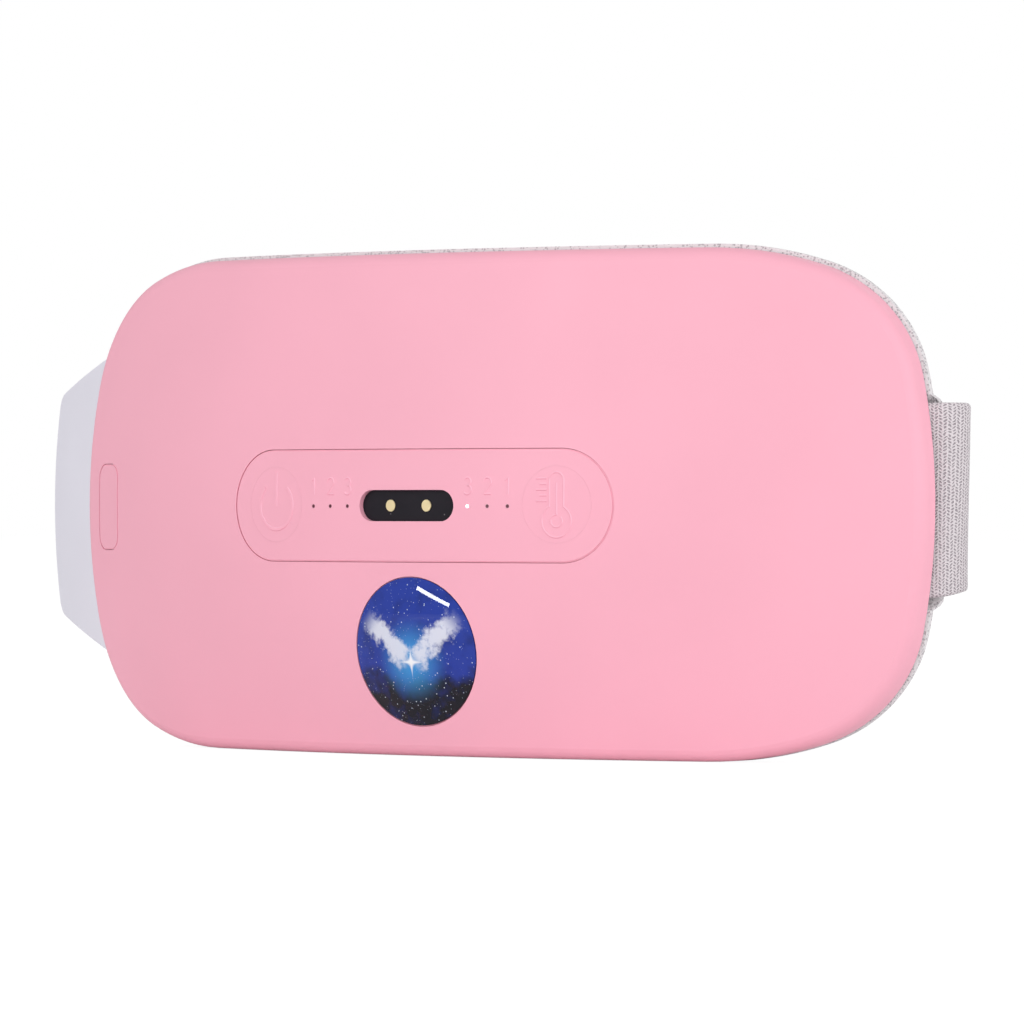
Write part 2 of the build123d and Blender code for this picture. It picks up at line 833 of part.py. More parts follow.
def lobe_crown():
    """The limit that rounds the two lobes off towards the top and the bottom."""
    top = half_height + 2 * cushion_proud
    back = lobe_depth - lobe_crown_fall
    crown = ThreePointArc((0, back, -top), (0, lobe_depth, 0), (0, back, top))
    sides = [Line((0, NEAR, -top), (0, back, -top)), Line((0, NEAR, top), (0, back, top)),
             Line((0, NEAR, -top), (0, NEAR, top))]
    face = make_face(Wire.combine([crown] + sides)[0])
    return Pos(-FAR, 0, 0) * extrude(face, 2 * FAR, dir=(1, 0, 0))


def face_cushion():
    pad = prism(mask_outline(cushion_proud, cushion_proud), NEAR, FAR) & behind(cushion_front)
    pad = pad & cushion_profile() & lobe_crown()
    pad -= prism(tray_outline(cover_wall + soft_gap), NEAR, FAR) - behind(
        tray_floor + film_thickness + film_gap + soft_gap)
    for x, z in screw_spots:
        pad -= rod(x, z, tower_diameter + 2 * soft_gap, 0, screw_seat(x, z) + seat_wall + soft_gap)
    for x, z in eye_spots:
        oval = Pos(x, 0, z) * (Plane.XZ * Ellipse(eye_half_length, eye_half_height))
        pad -= prism(oval, eye_floor, FAR)
    pad -= prism(nose_shape(), nose_floor, FAR)
    sensor_back = sag(0, eye_rise) + tray_floor + film_gap + sensor_thickness + soft_gap
    pad -= block(-sensor_length / 2 - soft_gap, sensor_length / 2 + soft_gap, 0, sensor_back,
                 eye_rise - sensor_size / 2 - soft_gap, eye_rise + sensor_size / 2 + soft_gap)
    # room for the strap and its clamp at the right end
    gap = strap_slot_gap
    slot = strap_blank(strap_thickness + 2 * gap, strap_width + 2 * gap)
    reach = strap_width / 2 + gap
    turn_depth = sag(strap_exit) + strap_depth + strap_turn_radius / 2
    pad -= slot & block(strap_start - 1, FAR, 0, turn_depth, -half_height, half_height)
    pad -= block(strap_start - 1, FAR, 0, FAR, -reach, reach) - behind(strap_depth)
    half = clamp_length / 2 + 1.5
    clamp_depth = strap_depth + strap_thickness / 2 + clamp_thickness + 2.9
    pad -= block(strap_clamp_x - half, strap_clamp_x + half, 0, FAR, -strap_width / 2,
                 strap_width / 2) - behind(clamp_depth)
    pad -= block(strap_start - 1.5, strap_start + 1, 0, FAR, -reach, reach) - behind(
        strap_depth + strap_thickness / 2 + gap)
    # room for the tab and its clamp at the left end
    pad -= prism(tab_outline(soft_gap), NEAR, FAR) - behind(tab_front + tab_thickness + soft_gap)
    half = clamp_length / 2 + soft_gap
    reach = tab_root_half - clamp_edge + soft_gap
    clamp_depth = tab_front + tab_thickness + clamp_gap + clamp_thickness + 2.7
    pad -= block(tab_clamp_x - half, tab_clamp_x + half, 0, FAR, -reach, reach) - behind(clamp_depth)
    return pad


def nose_shape():
    low = -half_height - 5
    lines = [
        Line((-nose_half_width, 0, low), (nose_half_width, 0, low)),
        Line((nose_half_width, 0, low), (nose_neck, 0, nose_top - nose_neck)),
        ThreePointArc((nose_neck, 0, nose_top - nose_neck), (0, 0, nose_top),
                      (-nose_neck, 0, nose_top - nose_neck)),
        Line((-nose_neck, 0, nose_top - nose_neck), (-nose_half_width, 0, low)),
    ]
    return make_face(Wire.combine(lines)[0])


def cushion_tapes():
    tapes = []
    for s in (-1, 1):
        strip = Pos(0, 0, s * hook_tape_reach) * (Plane.XZ * Rectangle(hook_tape_length, hook_tape_width))
        tapes.append(prism(strip, NEAR, FAR) & layer(lip_depth - 0.05, cushion_front - 0.05))
    return tapes


# ================================================================= write the nodes
os.makedirs("parts", exist_ok=True)

save("front_shell", front_shell())
save("control_strip", control_strip())
save("power_key", key(-key_reach))
save("heat_key", key(key_reach))
save("side_button", side_button())
save("side_switch", side_switch())
save("port_plate", port_plate())
save("port_contacts", port_contacts())
save("port_magnets", port_magnets())
save("led_windows", [led_window(*spot) for spot in led_spots if spot != lit_led])
save("led_window_lit", led_window(*lit_led))
save("crystal_dome", crystal_dome())
save("crystal_backing", crystal_backing())
save("main_board", main_board())
save("board_chips", board_chips())
save("tact_switches", tact_switches())
save("led_chips", led_chips())
save("battery", battery())
save("battery_tape", battery_tape())
save("battery_leads", battery_leads())
for name, side in (("left", -1), ("right", 1)):
    save(f"motor_{name}", motor(side))
    save(f"motor_shaft_{name}", motor_shaft(side))
    save(f"motor_weight_{name}", motor_weight(side))
save("motor_leads", motor_leads())
save("heating_films", heating_films())
save("temperature_sensor", temperature_sensor())
save("back_cover", back_cover())
save("housing_screws", housing_screws())
save("face_cushion", face_cushion())
save("cushion_tapes", cushion_tapes())
save("strap", strap())
save("strap_clamp", strap_clamp())
save("strap_rivets", strap_rivets())
save("hook_tab", hook_tab())
save("hook_patch", hook_patch())
save("tab_clamp", tab_clamp())
save("tab_rivets", tab_rivets())
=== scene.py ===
import math

import bmesh
import bpy
from bpy.props import FloatProperty, FloatVectorProperty, IntProperty, PointerProperty
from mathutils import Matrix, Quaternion, Vector
from mathutils.bvhtree import BVHTree
from mathutils.kdtree import KDTree


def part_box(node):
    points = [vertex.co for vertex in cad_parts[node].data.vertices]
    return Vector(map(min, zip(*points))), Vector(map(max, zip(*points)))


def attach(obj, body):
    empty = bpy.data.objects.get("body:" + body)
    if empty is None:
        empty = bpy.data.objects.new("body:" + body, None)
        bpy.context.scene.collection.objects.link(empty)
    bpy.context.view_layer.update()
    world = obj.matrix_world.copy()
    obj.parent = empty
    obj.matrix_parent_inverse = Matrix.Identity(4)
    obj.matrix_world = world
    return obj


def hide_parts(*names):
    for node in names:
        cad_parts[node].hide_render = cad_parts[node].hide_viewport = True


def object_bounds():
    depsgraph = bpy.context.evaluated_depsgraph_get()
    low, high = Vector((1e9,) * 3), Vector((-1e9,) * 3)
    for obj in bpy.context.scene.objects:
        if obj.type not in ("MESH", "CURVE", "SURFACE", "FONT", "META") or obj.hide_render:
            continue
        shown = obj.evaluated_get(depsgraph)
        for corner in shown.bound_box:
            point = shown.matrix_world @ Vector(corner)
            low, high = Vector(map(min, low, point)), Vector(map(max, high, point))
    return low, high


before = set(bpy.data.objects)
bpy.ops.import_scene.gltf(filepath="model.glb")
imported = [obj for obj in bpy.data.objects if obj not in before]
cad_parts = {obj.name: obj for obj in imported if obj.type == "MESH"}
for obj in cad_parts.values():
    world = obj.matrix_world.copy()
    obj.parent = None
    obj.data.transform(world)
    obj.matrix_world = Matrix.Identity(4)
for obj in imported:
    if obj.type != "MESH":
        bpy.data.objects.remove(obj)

bl_info = {
    "name": "Eye Massager Mask",
    "version": (1, 0, 0),
    "blender": (4, 5, 0),
    "location": "3D View > Sidebar > Mask",
    "description": "Dresses the mask's frame: soft-touch shell, key marks, cabochon, cushion and strap",
    "category": "Object",
}

CAD_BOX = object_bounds()
SHELL_LOW, SHELL_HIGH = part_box("front_shell")
APEX = Vector((0.0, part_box("control_strip")[0][1], (SHELL_LOW[2] + SHELL_HIGH[2]) / 2))
HALF_WIDTH = SHELL_HIGH[0]
HALF_HEIGHT = (SHELL_HIGH[2] - SHELL_LOW[2]) / 2
MM = 0.001


# ------------------------------------------------------------------ settings
def length_setting(name, description, default):
    return FloatProperty(name=name, description=description, default=default,
                         subtype="DISTANCE", unit="LENGTH")


def angle_setting(name, description, degrees):
    return FloatProperty(name=name, description=description, default=math.radians(degrees),
                         subtype="ANGLE", unit="ROTATION")


def colour_setting(name, description, default):
    return FloatVectorProperty(name=name, description=description, default=default,
                               subtype="COLOR", size=3, min=0.0, max=1.0)


class MaskSizes(bpy.types.PropertyGroup):
    dome_radius: length_setting("Dome Radius", "Radius of the front dome", 0.205)
    shoulder_radius: length_setting("Shoulder Radius", "Outline arc next to the flat top", 0.061)
    corner_radius: length_setting("Corner Radius", "Outline arc at each corner", 0.0268)
    shoulder_turn: angle_setting("Shoulder Turn", "How far the shoulder arc turns", 18.8)
    end_turn: angle_setting("End Turn", "Half the angle of the bulged end arc", 13.0)
    mark_height: length_setting("Mark Height", "How far the key marks stand out", 0.00011)
    mark_slope: length_setting("Mark Slope", "Width of a mark's sloping side", 0.00014)
    knit_pitch: length_setting("Knit Pitch", "Distance between holes of the strap's knit", 0.00070)
    mesh_pitch: length_setting("Mesh Pitch", "Distance between holes of the cushion's cover", 0.00050)
    stitch_length: length_setting("Stitch Length", "Length of a stitch and its gap", 0.0032)
    outline_points: IntProperty(name="Outline Points", description="Points round the cushion",
                                default=640, min=64, max=2048)


def srgb(red, green, blue):
    """A colour written as it shows on a screen, 0 to 255, as linear light."""
    def linear(value):
        value /= 255
        return value / 12.92 if value <= 0.04045 else ((value + 0.055) / 1.055) ** 2.4
    return linear(red), linear(green), linear(blue)


class MaskColours(bpy.types.PropertyGroup):
    shell: colour_setting("Shell", "Soft-touch pink of the shell and keys", srgb(252, 180, 199))
    strap: colour_setting("Strap", "Light face of the woven elastic", srgb(226, 218, 222))
    knit_hole_shade: colour_setting("Knit Hole", "Shade inside the strap's holes", srgb(160, 149, 157))
    cushion: colour_setting("Cushion", "Knitted cushion cover", srgb(230, 226, 228))
    cushion_hole_shade: colour_setting("Cushion Hole", "Shade inside the cover's mesh", srgb(184, 177, 182))
    tab: colour_setting("Tab", "Smooth coated hook tab", srgb(236, 234, 245))
    port: colour_setting("Port", "Charging port plate", srgb(33, 30, 37))
    contact: colour_setting("Contact", "Gold-plated contacts", srgb(226, 208, 164))
    cover: colour_setting("Cover", "Back cover", srgb(236, 235, 238))
    night: colour_setting("Night", "Deep blue of the cabochon", srgb(36, 60, 158))
    glow: colour_setting("Glow", "Bright blue at its middle", srgb(66, 160, 226))


def sizes():
    return bpy.context.scene.mask_sizes


def colours():
    return bpy.context.scene.mask_colours


# ------------------------------------------------------------------ shapes
def sag(x, z):
    """Depth of the dome below its apex."""
    r = sizes().dome_radius
    return r - math.sqrt(r * r - x * x - z * z)


def dome_point(x, z, depth=0.0):
    """A point at (x, z) from the apex, a depth behind the dome surface."""
    return Vector((APEX.x + x, APEX.y + sag(x, z) + depth, APEX.z + z))


def smooth(low, high, value):
    t = min(max((value - low) / (high - low), 0.0), 1.0)
    return t * t * (3 - 2 * t)


def soft_min(a, b, blend):
    """The lower of two values, with a rounded change from one to the other."""
    t = max(blend - abs(a - b), 0.0) / blend
    return min(a, b) - t * t * blend / 4


def outline_arcs():
    """The quarter outline as arcs: centre, radius, start and end angle."""
    s = sizes()
    a1 = s.shoulder_turn
    a3 = s.end_turn
    drop = s.shoulder_radius * (1 - math.cos(a1)) + s.corner_radius * (math.cos(a1) - math.sin(a3))
    end_radius = (HALF_HEIGHT - drop) / math.sin(a3)
    c3 = (HALF_WIDTH - end_radius, 0.0)
    step = end_radius - s.corner_radius
    c2 = (c3[0] + step * math.cos(a3), step * math.sin(a3))
    step = s.corner_radius - s.shoulder_radius
    c1 = (c2[0] + step * math.sin(a1), c2[1] + step * math.cos(a1))
    quarter = math.pi / 2
    return [(c3, end_radius, 0.0, a3), (c2, s.corner_radius, a3, quarter - a1),
            (c1, s.shoulder_radius, quarter - a1, quarter)]


def quarter_points(grow, count):
    """Evenly spaced points of the first quarter, from the right end to the top's middle."""
    arcs = outline_arcs()
    lengths = [(radius + grow) * (end - start) for _, radius, start, end in arcs]
    flat = arcs[-1][0][0]
    total = sum(lengths) + flat
    points = []
    for i in range(count):
        left = total * i / count
        for (centre, radius, start, end), length in zip(arcs, lengths):
            if left <= length:
                a = start + (end - start) * left / length
                points.append((centre[0] + (radius + grow) * math.cos(a),
                               centre[1] + (radius + grow) * math.sin(a)))
                break
            left -= length
        else:
            points.append((flat - left, HALF_HEIGHT + grow))
    return points


def outline(grow, count):
    """The whole outline, anticlockwise from the right end, as (x, z) from the apex."""
    quarter = quarter_points(grow, count // 4)
    top = (0.0, HALF_HEIGHT + grow)
    half = quarter + [top] + [(-x, z) for x, z in reversed(quarter[1:])]
    end = (-quarter[0][0], 0.0)
    return half + [end] + [(x, -z) for x, z in reversed(half[1:])]


def new_piece(name, mesh, material, body):
    piece = bpy.data.objects.new(name, mesh)
    bpy.context.scene.collection.objects.link(piece)
    piece.data.materials.append(material)
    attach(piece, body)
    return piece


def shade_smooth(mesh, angle=40):
    for polygon in mesh.polygons:
        polygon.use_smooth = True
    mesh.set_sharp_from_angle(angle=math.radians(angle))


def ring_mesh(name, rings, uvs=None):
    """A closed skin over rings of equal length, with a point at each end."""
    mesh = bpy.data.meshes.new(name)
    bm = bmesh.new()
    uv_layer = bm.loops.layers.uv.new("Cloth")
    count = len(rings[0])
    rows = [[bm.verts.new(p) for p in ring] for ring in rings]
    for r in range(len(rows) - 1):
        for i in range(count):
            j = (i + 1) % count
            face = bm.faces.new((rows[r][i], rows[r][j], rows[r + 1][j], rows[r + 1][i]))
            if uvs:
                for loop, (row, k) in zip(face.loops, ((r, i), (r, i + 1), (r + 1, i + 1), (r + 1, i))):
                    loop[uv_layer].uv = uvs(row, k)
    for row, flip in ((rows[0], True), (rows[-1], False)):
        middle = bm.verts.new(sum((v.co for v in row), Vector()) / count)
        for i in range(count):
            pair = (row[(i + 1) % count], row[i]) if flip else (row[i], row[(i + 1) % count])
            bm.faces.new((pair[0], pair[1], middle))
    bmesh.ops.recalc_face_normals(bm, faces=bm.faces)
    bm.to_mesh(mesh)
    bm.free()
    return mesh


# ------------------------------------------------------------------ materials
class Nodes:
    """A short way to write a material's node tree."""

    def __init__(self, name):
        self.material = bpy.data.materials.new(name)
        self.material.use_nodes = True
        self.tree = self.material.node_tree
        self.shader = self.tree.nodes["Principled BSDF"]

    def node(self, kind, inputs=None, **settings):
        node = self.tree.nodes.new(kind)
        for key, value in settings.items():
            setattr(node, key, value)
        for key, value in (inputs or {}).items():
            self.put(node.inputs[key], value)
        return node

    def put(self, socket, value):
        if isinstance(value, bpy.types.NodeSocket):
            self.tree.links.new(value, socket)
        elif isinstance(value, tuple) and len(value) == 3 and socket.type == "RGBA":
            socket.default_value = (*value, 1.0)
        else:
            socket.default_value = value

    def set(self, **values):
        for key, value in values.items():
            self.put(self.shader.inputs[key.replace("_", " ")], value)

    def math(self, operation, a, b=0.0, c=0.0):
        return self.node("ShaderNodeMath", {0: a, 1: b, 2: c}, operation=operation).outputs[0]

    def mix(self, factor, a, b, blend="MIX"):
        node = self.node("ShaderNodeMix", data_type="RGBA", blend_type=blend)
        self.put(node.inputs[0], factor)
        self.put(node.inputs[6], a)
        self.put(node.inputs[7], b)
        return node.outputs[2]

    def place(self):
        return self.node("ShaderNodeTexCoord").outputs["Object"]

    def cloth(self):
        return self.node("ShaderNodeUVMap", uv_map="Cloth").outputs["UV"]

    def noise(self, vector, scale, detail=3.0, rough=0.5):
        node = self.node("ShaderNodeTexNoise", {"Vector": vector, "Scale": scale, "Detail": detail,
                                                "Roughness": rough})
        return node.outputs["Fac"]

    def ramp(self, value, low, high, to_low=0.0, to_high=1.0):
        node = self.node("ShaderNodeMapRange", {"Value": value, "From Min": low, "From Max": high,
                                                "To Min": to_low, "To Max": to_high},
                         interpolation_type="SMOOTHSTEP")
        return node.outputs["Result"]

    def split(self, vector):
        node = self.node("ShaderNodeSeparateXYZ", {"Vector": vector})
        return node.outputs["X"], node.outputs["Y"], node.outputs["Z"]

    def bump(self, height, distance, strength=1.0, normal=None):
        inputs = {"Height": height, "Distance": distance, "Strength": strength}
        if normal is not None:
            inputs["Normal"] = normal
        return self.node("ShaderNodeBump", inputs).outputs["Normal"]


def moulded(name, colour, roughness=0.45, mottle=0.02, grain=0.00025, depth=0.000006, **more):
    """Moulded plastic, metal or rubber: faint mottling, fine grain, uneven gloss."""
    n = Nodes(name)
    place = n.place()
    soft = n.noise(place, 28.0, 2.0)
    fine = n.noise(place, 1.0 / grain, 2.0)
    dark = tuple(max(c * (1 - 2 * mottle), 0.0) for c in colour)
    light = tuple(min(c * (1 + mottle), 1.0) for c in colour)
    n.set(Base_Color=n.mix(n.ramp(soft, 0.3, 0.7), dark, light))
    n.set(Roughness=n.ramp(n.noise(place, 90.0, 3.0), 0.25, 0.75, roughness - 0.04, roughness + 0.05))
    n.set(Normal=n.bump(fine, depth))
    n.set(**more)
    return n.material


def paint(node_name, material):
    """Give a frame node this material in every slot, adding a slot if it has none."""
    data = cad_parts[node_name].data
    if not data.materials:
        data.materials.append(material)
    for i in range(len(data.materials)):
        data.materials[i] = material


def shell_material():
    """Soft-touch pink paint: silky grain, a trace of sheen, rubbed slightly glossier in places."""
    n = Nodes("shell_soft_pink")
    place = n.place()
    colour = tuple(colours().shell)
    deep = tuple(c * 0.965 for c in colour)
    n.set(Base_Color=n.mix(n.ramp(n.noise(place, 22.0, 2.0), 0.3, 0.7), deep, colour))
    rubbed = n.ramp(n.noise(place, 60.0, 4.0), 0.35, 0.75, 0.50, 0.60)
    n.set(Roughness=rubbed)
    grain = n.noise(place, 5200.0, 2.0)
    orange_peel = n.noise(place, 700.0, 1.0)
    fine = n.bump(grain, 0.000008, 0.6)
    n.set(Normal=n.bump(orange_peel, 0.000010, 0.35, fine))
    n.set(IOR=1.45, Sheen_Weight=0.08, Sheen_Roughness=0.4)
    return n.material


def mark_material():
    """The shell's pink with painted shade on slopes that face down and a painted highlight on those that
    face up.
    """
    material = bpy.data.materials["shell_soft_pink"].copy()
    material.name = "mark_pink_painted_shade"
    tree = material.node_tree
    n = Nodes.__new__(Nodes)
    n.material, n.tree, n.shader = material, tree, tree.nodes["Principled BSDF"]
    normal = n.node("ShaderNodeTexCoord").outputs["Normal"]
    facing = n.node("ShaderNodeVectorMath", {0: normal, 1: (0.55, 0.0, 0.83)}, operation="DOT_PRODUCT")
    value = facing.outputs["Value"]
    colour = tuple(colours().shell)
    # painted shade: a deeper pink on slopes that face down
    deep = tuple(c * f for c, f in zip(colour, (0.86, 0.66, 0.72)))
    with_painted_shade = n.mix(n.ramp(value, -0.15, -0.45), colour, deep)
    # painted highlight: a paler pink on slopes that face up
    pale = tuple(min(c * f, 1.0) for c, f in zip(colour, (1.02, 1.22, 1.18)))
    n.set(Base_Color=n.mix(n.ramp(value, 0.15, 0.45), with_painted_shade, pale))
    return material


def knit_material(name, light, dark, pitch, across, slant, hole, depth):
    """Knitted cloth: columns of slanted holes between raised yarn, with a little fuzz; the holes are
    filled with painted shade.
    """
    n = Nodes(name)
    u, v, _ = n.split(n.cloth())
    column = n.math("MULTIPLY", u, 1.0 / pitch)
    row = n.math("MULTIPLY", v, 1.0 / across)
    wander = n.noise(n.cloth(), 1150.0, 2.0)
    column = n.math("ADD", column, n.math("MULTIPLY", n.math("SUBTRACT", wander, 0.5), 0.75))
    stray = n.noise(n.cloth(), 1300.0, 2.0)
    row = n.math("ADD", row, n.math("MULTIPLY", n.math("SUBTRACT", stray, 0.5), 1.1))
    odd = n.math("FLOORED_MODULO", n.math("FLOOR", column), 2.0)
    parity = n.math("SUBTRACT", n.math("MULTIPLY", odd, 2.0), 1.0)
    a = n.math("SUBTRACT", n.math("FRACT", column), 0.5)
    lean = n.math("MULTIPLY", n.math("MULTIPLY", parity, a), slant)
    shift = n.math("MULTIPLY", parity, 0.25)
    b = n.math("SUBTRACT", n.math("FRACT", n.math("ADD", n.math("ADD", row, lean), shift)), 0.5)
    far = n.math("ADD", n.math("POWER", n.math("ABSOLUTE", n.math("DIVIDE", a, hole)), 2.0),
                 n.math("POWER", n.math("ABSOLUTE", n.math("DIVIDE", b, hole * 0.8)), 2.0))
    yarn = n.ramp(far, 0.35, 1.9)
    fuzz = n.noise(n.cloth(), 5200.0, 2.0)
    broad = n.noise(n.cloth(), 90.0, 2.0)
    # painted shade: the dark colour fills each hole of the knit
    shade = n.mix(yarn, dark, light)
    shade = n.mix(n.ramp(fuzz, 0.3, 0.75, 0.0, 0.22), shade, tuple(c * 0.72 for c in light))
    shade = n.mix(n.ramp(broad, 0.3, 0.7, 0.0, 0.10), shade, tuple(min(c * 1.1, 1.0) for c in light))
    n.set(Base_Color=shade)
    n.set(Roughness=n.ramp(yarn, 0.0, 1.0, 0.95, 0.82))
    height = n.math("ADD", yarn, n.math("MULTIPLY", fuzz, 0.35))
    n.set(Normal=n.bump(height, depth, 0.9))
    n.set(Sheen_Weight=0.25, Sheen_Roughness=0.5, Specular_IOR_Level=0.2)
    return n.material


def speckled_material(name, light, dark, pitch):
    """Fine spacer mesh: pale yarn with small holes filled with painted shade, no run in any direction."""
    n = Nodes(name)
    place = n.place()
    warped = n.node("ShaderNodeTexNoise", {"Vector": place, "Scale": 1500.0, "Detail": 1.0})
    moved = n.node("ShaderNodeVectorMath", {0: warped.outputs["Color"], 1: (pitch * 0.5,) * 3},
                   operation="MULTIPLY")
    place = n.node("ShaderNodeVectorMath", {0: place, 1: moved.outputs["Vector"]},
                   operation="ADD").outputs[0]
    cells = n.node("ShaderNodeTexVoronoi", {"Vector": place, "Scale": 1 / pitch, "Randomness": 0.92})
    yarn = n.ramp(cells.outputs["Distance"], 0.22, 0.46)
    fuzz = n.noise(place, 6000.0, 2.0)
    broad = n.noise(place, 120.0, 2.0)
    # painted shade: the dark colour fills each hole of the mesh
    shade = n.mix(yarn, dark, light)
    shade = n.mix(n.ramp(fuzz, 0.35, 0.8, 0.0, 0.25), shade, tuple(c * 0.7 for c in light))
    shade = n.mix(n.ramp(broad, 0.3, 0.7, 0.0, 0.12), shade, tuple(min(c * 1.12, 1.0) for c in light))
    n.set(Base_Color=shade)
    height = n.math("ADD", yarn, n.math("MULTIPLY", fuzz, 0.4))
    n.set(Normal=n.bump(height, pitch * 0.2, 0.9))
    n.set(Roughness=0.88, Sheen_Weight=0.2, Sheen_Roughness=0.5, Specular_IOR_Level=0.2)
    return n.material


def night_sky_material():
    """The picture under the glass: a blue night sky with wisps and stars, glossy on top."""
    n = Nodes("cabochon_night_sky")
    low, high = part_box("crystal_dome")
    middle = (Vector(low) + Vector(high)) / 2
    radius = (high[0] - low[0]) / 2
    mapped = n.node("ShaderNodeMapping", {"Vector": n.place(), "Location": -middle / radius,
                                          "Scale": (1 / radius,) * 3})
    x, y, z = n.split(mapped.outputs["Vector"])
    flat = n.node("ShaderNodeCombineXYZ", {"X": x, "Y": 0.0, "Z": z}).outputs["Vector"]
    night = tuple(colours().night)
    glow = tuple(colours().glow)
    clouds = n.noise(flat, 2.6, 5.0, 0.55)
    edge = n.math("ADD", z, n.math("MULTIPLY", n.math("SUBTRACT", clouds, 0.5), 0.9))
    sky = n.mix(n.ramp(edge, -0.52, -0.18), (0.006, 0.007, 0.012), night)
    sky = n.mix(n.ramp(n.noise(flat, 3.4, 3.0), 0.45, 0.75, 0.0, 0.7), sky, tuple(c * 0.55 for c in night))
    reach = n.node("ShaderNodeVectorMath", {0: flat, 1: (0.0, 0.0, -0.12)}, operation="DISTANCE")
    halo = n.ramp(reach.outputs["Value"], 0.05, 0.62, 0.85, 0.0)
    sky = n.mix(halo, sky, glow)
    # two pale drifts of star cloud that rise to the left and the right
    side = n.math("ABSOLUTE", x)
    along = n.math("ADD", n.math("MULTIPLY", side, 0.76), n.math("MULTIPLY", z, 0.65))
    across = n.math("SUBTRACT", n.math("MULTIPLY", z, 0.76), n.math("MULTIPLY", side, 0.65))
    wisp_noise = n.noise(flat, 5.5, 6.0, 0.62)
    spread = n.math("ADD", n.math("ABSOLUTE", n.math("ADD", across, 0.14)),
                    n.math("MULTIPLY", n.math("SUBTRACT", wisp_noise, 0.5), 0.55))
    body = n.math("MULTIPLY", n.ramp(spread, 0.05, 0.20, 1.0, 0.0), n.ramp(along, -0.12, 0.08))
    wisps = n.math("MULTIPLY", body, n.ramp(along, 0.62, 0.95, 1.0, 0.0))
    sky = n.mix(n.math("MULTIPLY", wisps, 0.88), sky, (0.80, 0.83, 0.92))
    # stars of two sizes
    for scale, limit, strength in ((13.0, 0.13, 0.9), (24.0, 0.12, 0.6)):
        cells = n.node("ShaderNodeTexVoronoi", {"Vector": flat, "Scale": scale, "Randomness": 1.0})
        star = n.ramp(cells.outputs["Distance"], limit * 0.55, limit, strength, 0.0)
        sky = n.mix(star, sky, (0.72, 0.82, 0.95))
    # a four-pointed sparkle where the drifts meet
    level = n.math("ABSOLUTE", n.math("ADD", z, 0.14))
    cross = n.math("MULTIPLY", n.math("ADD", side, 0.012), n.math("ADD", level, 0.012))
    sparkle = n.math("MULTIPLY", n.ramp(cross, 0.0006, 0.004, 1.0, 0.0),
                     n.ramp(reach.outputs["Value"], 0.12, 0.36, 1.0, 0.0))
    sky = n.mix(sparkle, sky, (0.95, 0.97, 1.0))
    n.set(Base_Color=sky)
    n.set(Roughness=0.6, Specular_IOR_Level=0.0, Coat_Weight=1.0, Coat_Roughness=0.01, Coat_IOR=1.42)
    return n.material


# ------------------------------------------------------------------ raised marks
def ribbon(bm, points, width, height, closed=False):
    """A low raised band along points of the dome, flat-topped with sloping sides."""
    count = len(points)
    rows = []
    slope = min(sizes().mark_slope / width, 0.36)
    for i, (x, z) in enumerate(points):
        before = points[(i - 1) % count] if closed or i else points[i]
        after = points[(i + 1) % count] if closed or i < count - 1 else points[i]
        dx, dz = after[0] - before[0], after[1] - before[1]
        size = math.hypot(dx, dz)
        nx, nz = -dz / size, dx / size
        row = []
        sunk = 0.03 * MM
        for side, depth in ((-0.5, sunk), (slope - 0.5, -height), (0.5 - slope, -height), (0.5, sunk)):
            px, pz = x + nx * width * side, z + nz * width * side
            row.append(bm.verts.new(dome_point(px, pz, depth)))
        rows.append(row)
    spans = range(count if closed else count - 1)
    for i in spans:
        a, b = rows[i], rows[(i + 1) % count]
        for k in range(4):
            m = (k + 1) % 4
            bm.faces.new((a[k], a[m], b[m], b[k]))
    if not closed:
        bm.faces.new(rows[0])
        bm.faces.new(reversed(rows[-1]))


def arc(cx, cz, radius, start, end, steps=24):
    """Points of an arc between two angles in degrees."""
    points = []
    for i in range(steps + 1):
        a = math.radians(start + (end - start) * i / steps)
        points.append((cx + radius * math.cos(a), cz + radius * math.sin(a)))
    return points


def line(start, end, steps=6):
    return [(start[0] + (end[0] - start[0]) * i / steps, start[1] + (end[1] - start[1]) * i / steps)
            for i in range(steps + 1)]


def scaled(strokes, x, z, size):
    return [[(x + px * size, z + pz * size) for px, pz in stroke] for stroke in strokes]


def digit_strokes(digit):
    """A plain digit, one unit high, about its own middle."""
    if digit == 1:
        return [line((-0.16, 0.32), (0.04, 0.5)) + line((0.04, 0.5), (0.04, -0.5))[1:]]
    if digit == 2:
        top = arc(0, 0.22, 0.27, 170, -20)
        return [top + line(top[-1], (-0.27, -0.48))[1:] + line((-0.27, -0.48), (0.28, -0.48))[1:]]
    upper = arc(0, 0.25, 0.24, 150, -85)
    lower = arc(0, -0.23, 0.27, 85, -150)
    return [upper, lower]


def marks(name, strokes, width, body, material, closed=()):
    """Raised strokes on a key or on the strip, as one piece."""
    bm = bmesh.new()
    for i, stroke in enumerate(strokes):
        ribbon(bm, stroke, width, sizes().mark_height, closed=i in closed)
    bmesh.ops.recalc_face_normals(bm, faces=bm.faces)
    mesh = bpy.data.meshes.new(name)
    bm.to_mesh(mesh)
    bm.free()
    return new_piece(name, mesh, material, body)


def middle_of(node):
    low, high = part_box(node)
    return (low[0] + high[0]) / 2 - APEX.x, (low[2] + high[2]) / 2 - APEX.z


# ------------------------------------------------------------------ operators
class PieceOperator:
    bl_options = {"REGISTER", "UNDO"}


class MASK_OT_shell(PieceOperator, bpy.types.Operator):
    """Give the shell, the control strip and its keys their soft-touch finish"""
    bl_idname = "mask.shell"
    bl_label = "Shell and Keys"

    def execute(self, context):
        material = shell_material()
        for node in ("front_shell", "control_strip", "power_key", "heat_key", "side_button"):
            paint(node, material)
        return {"FINISHED"}


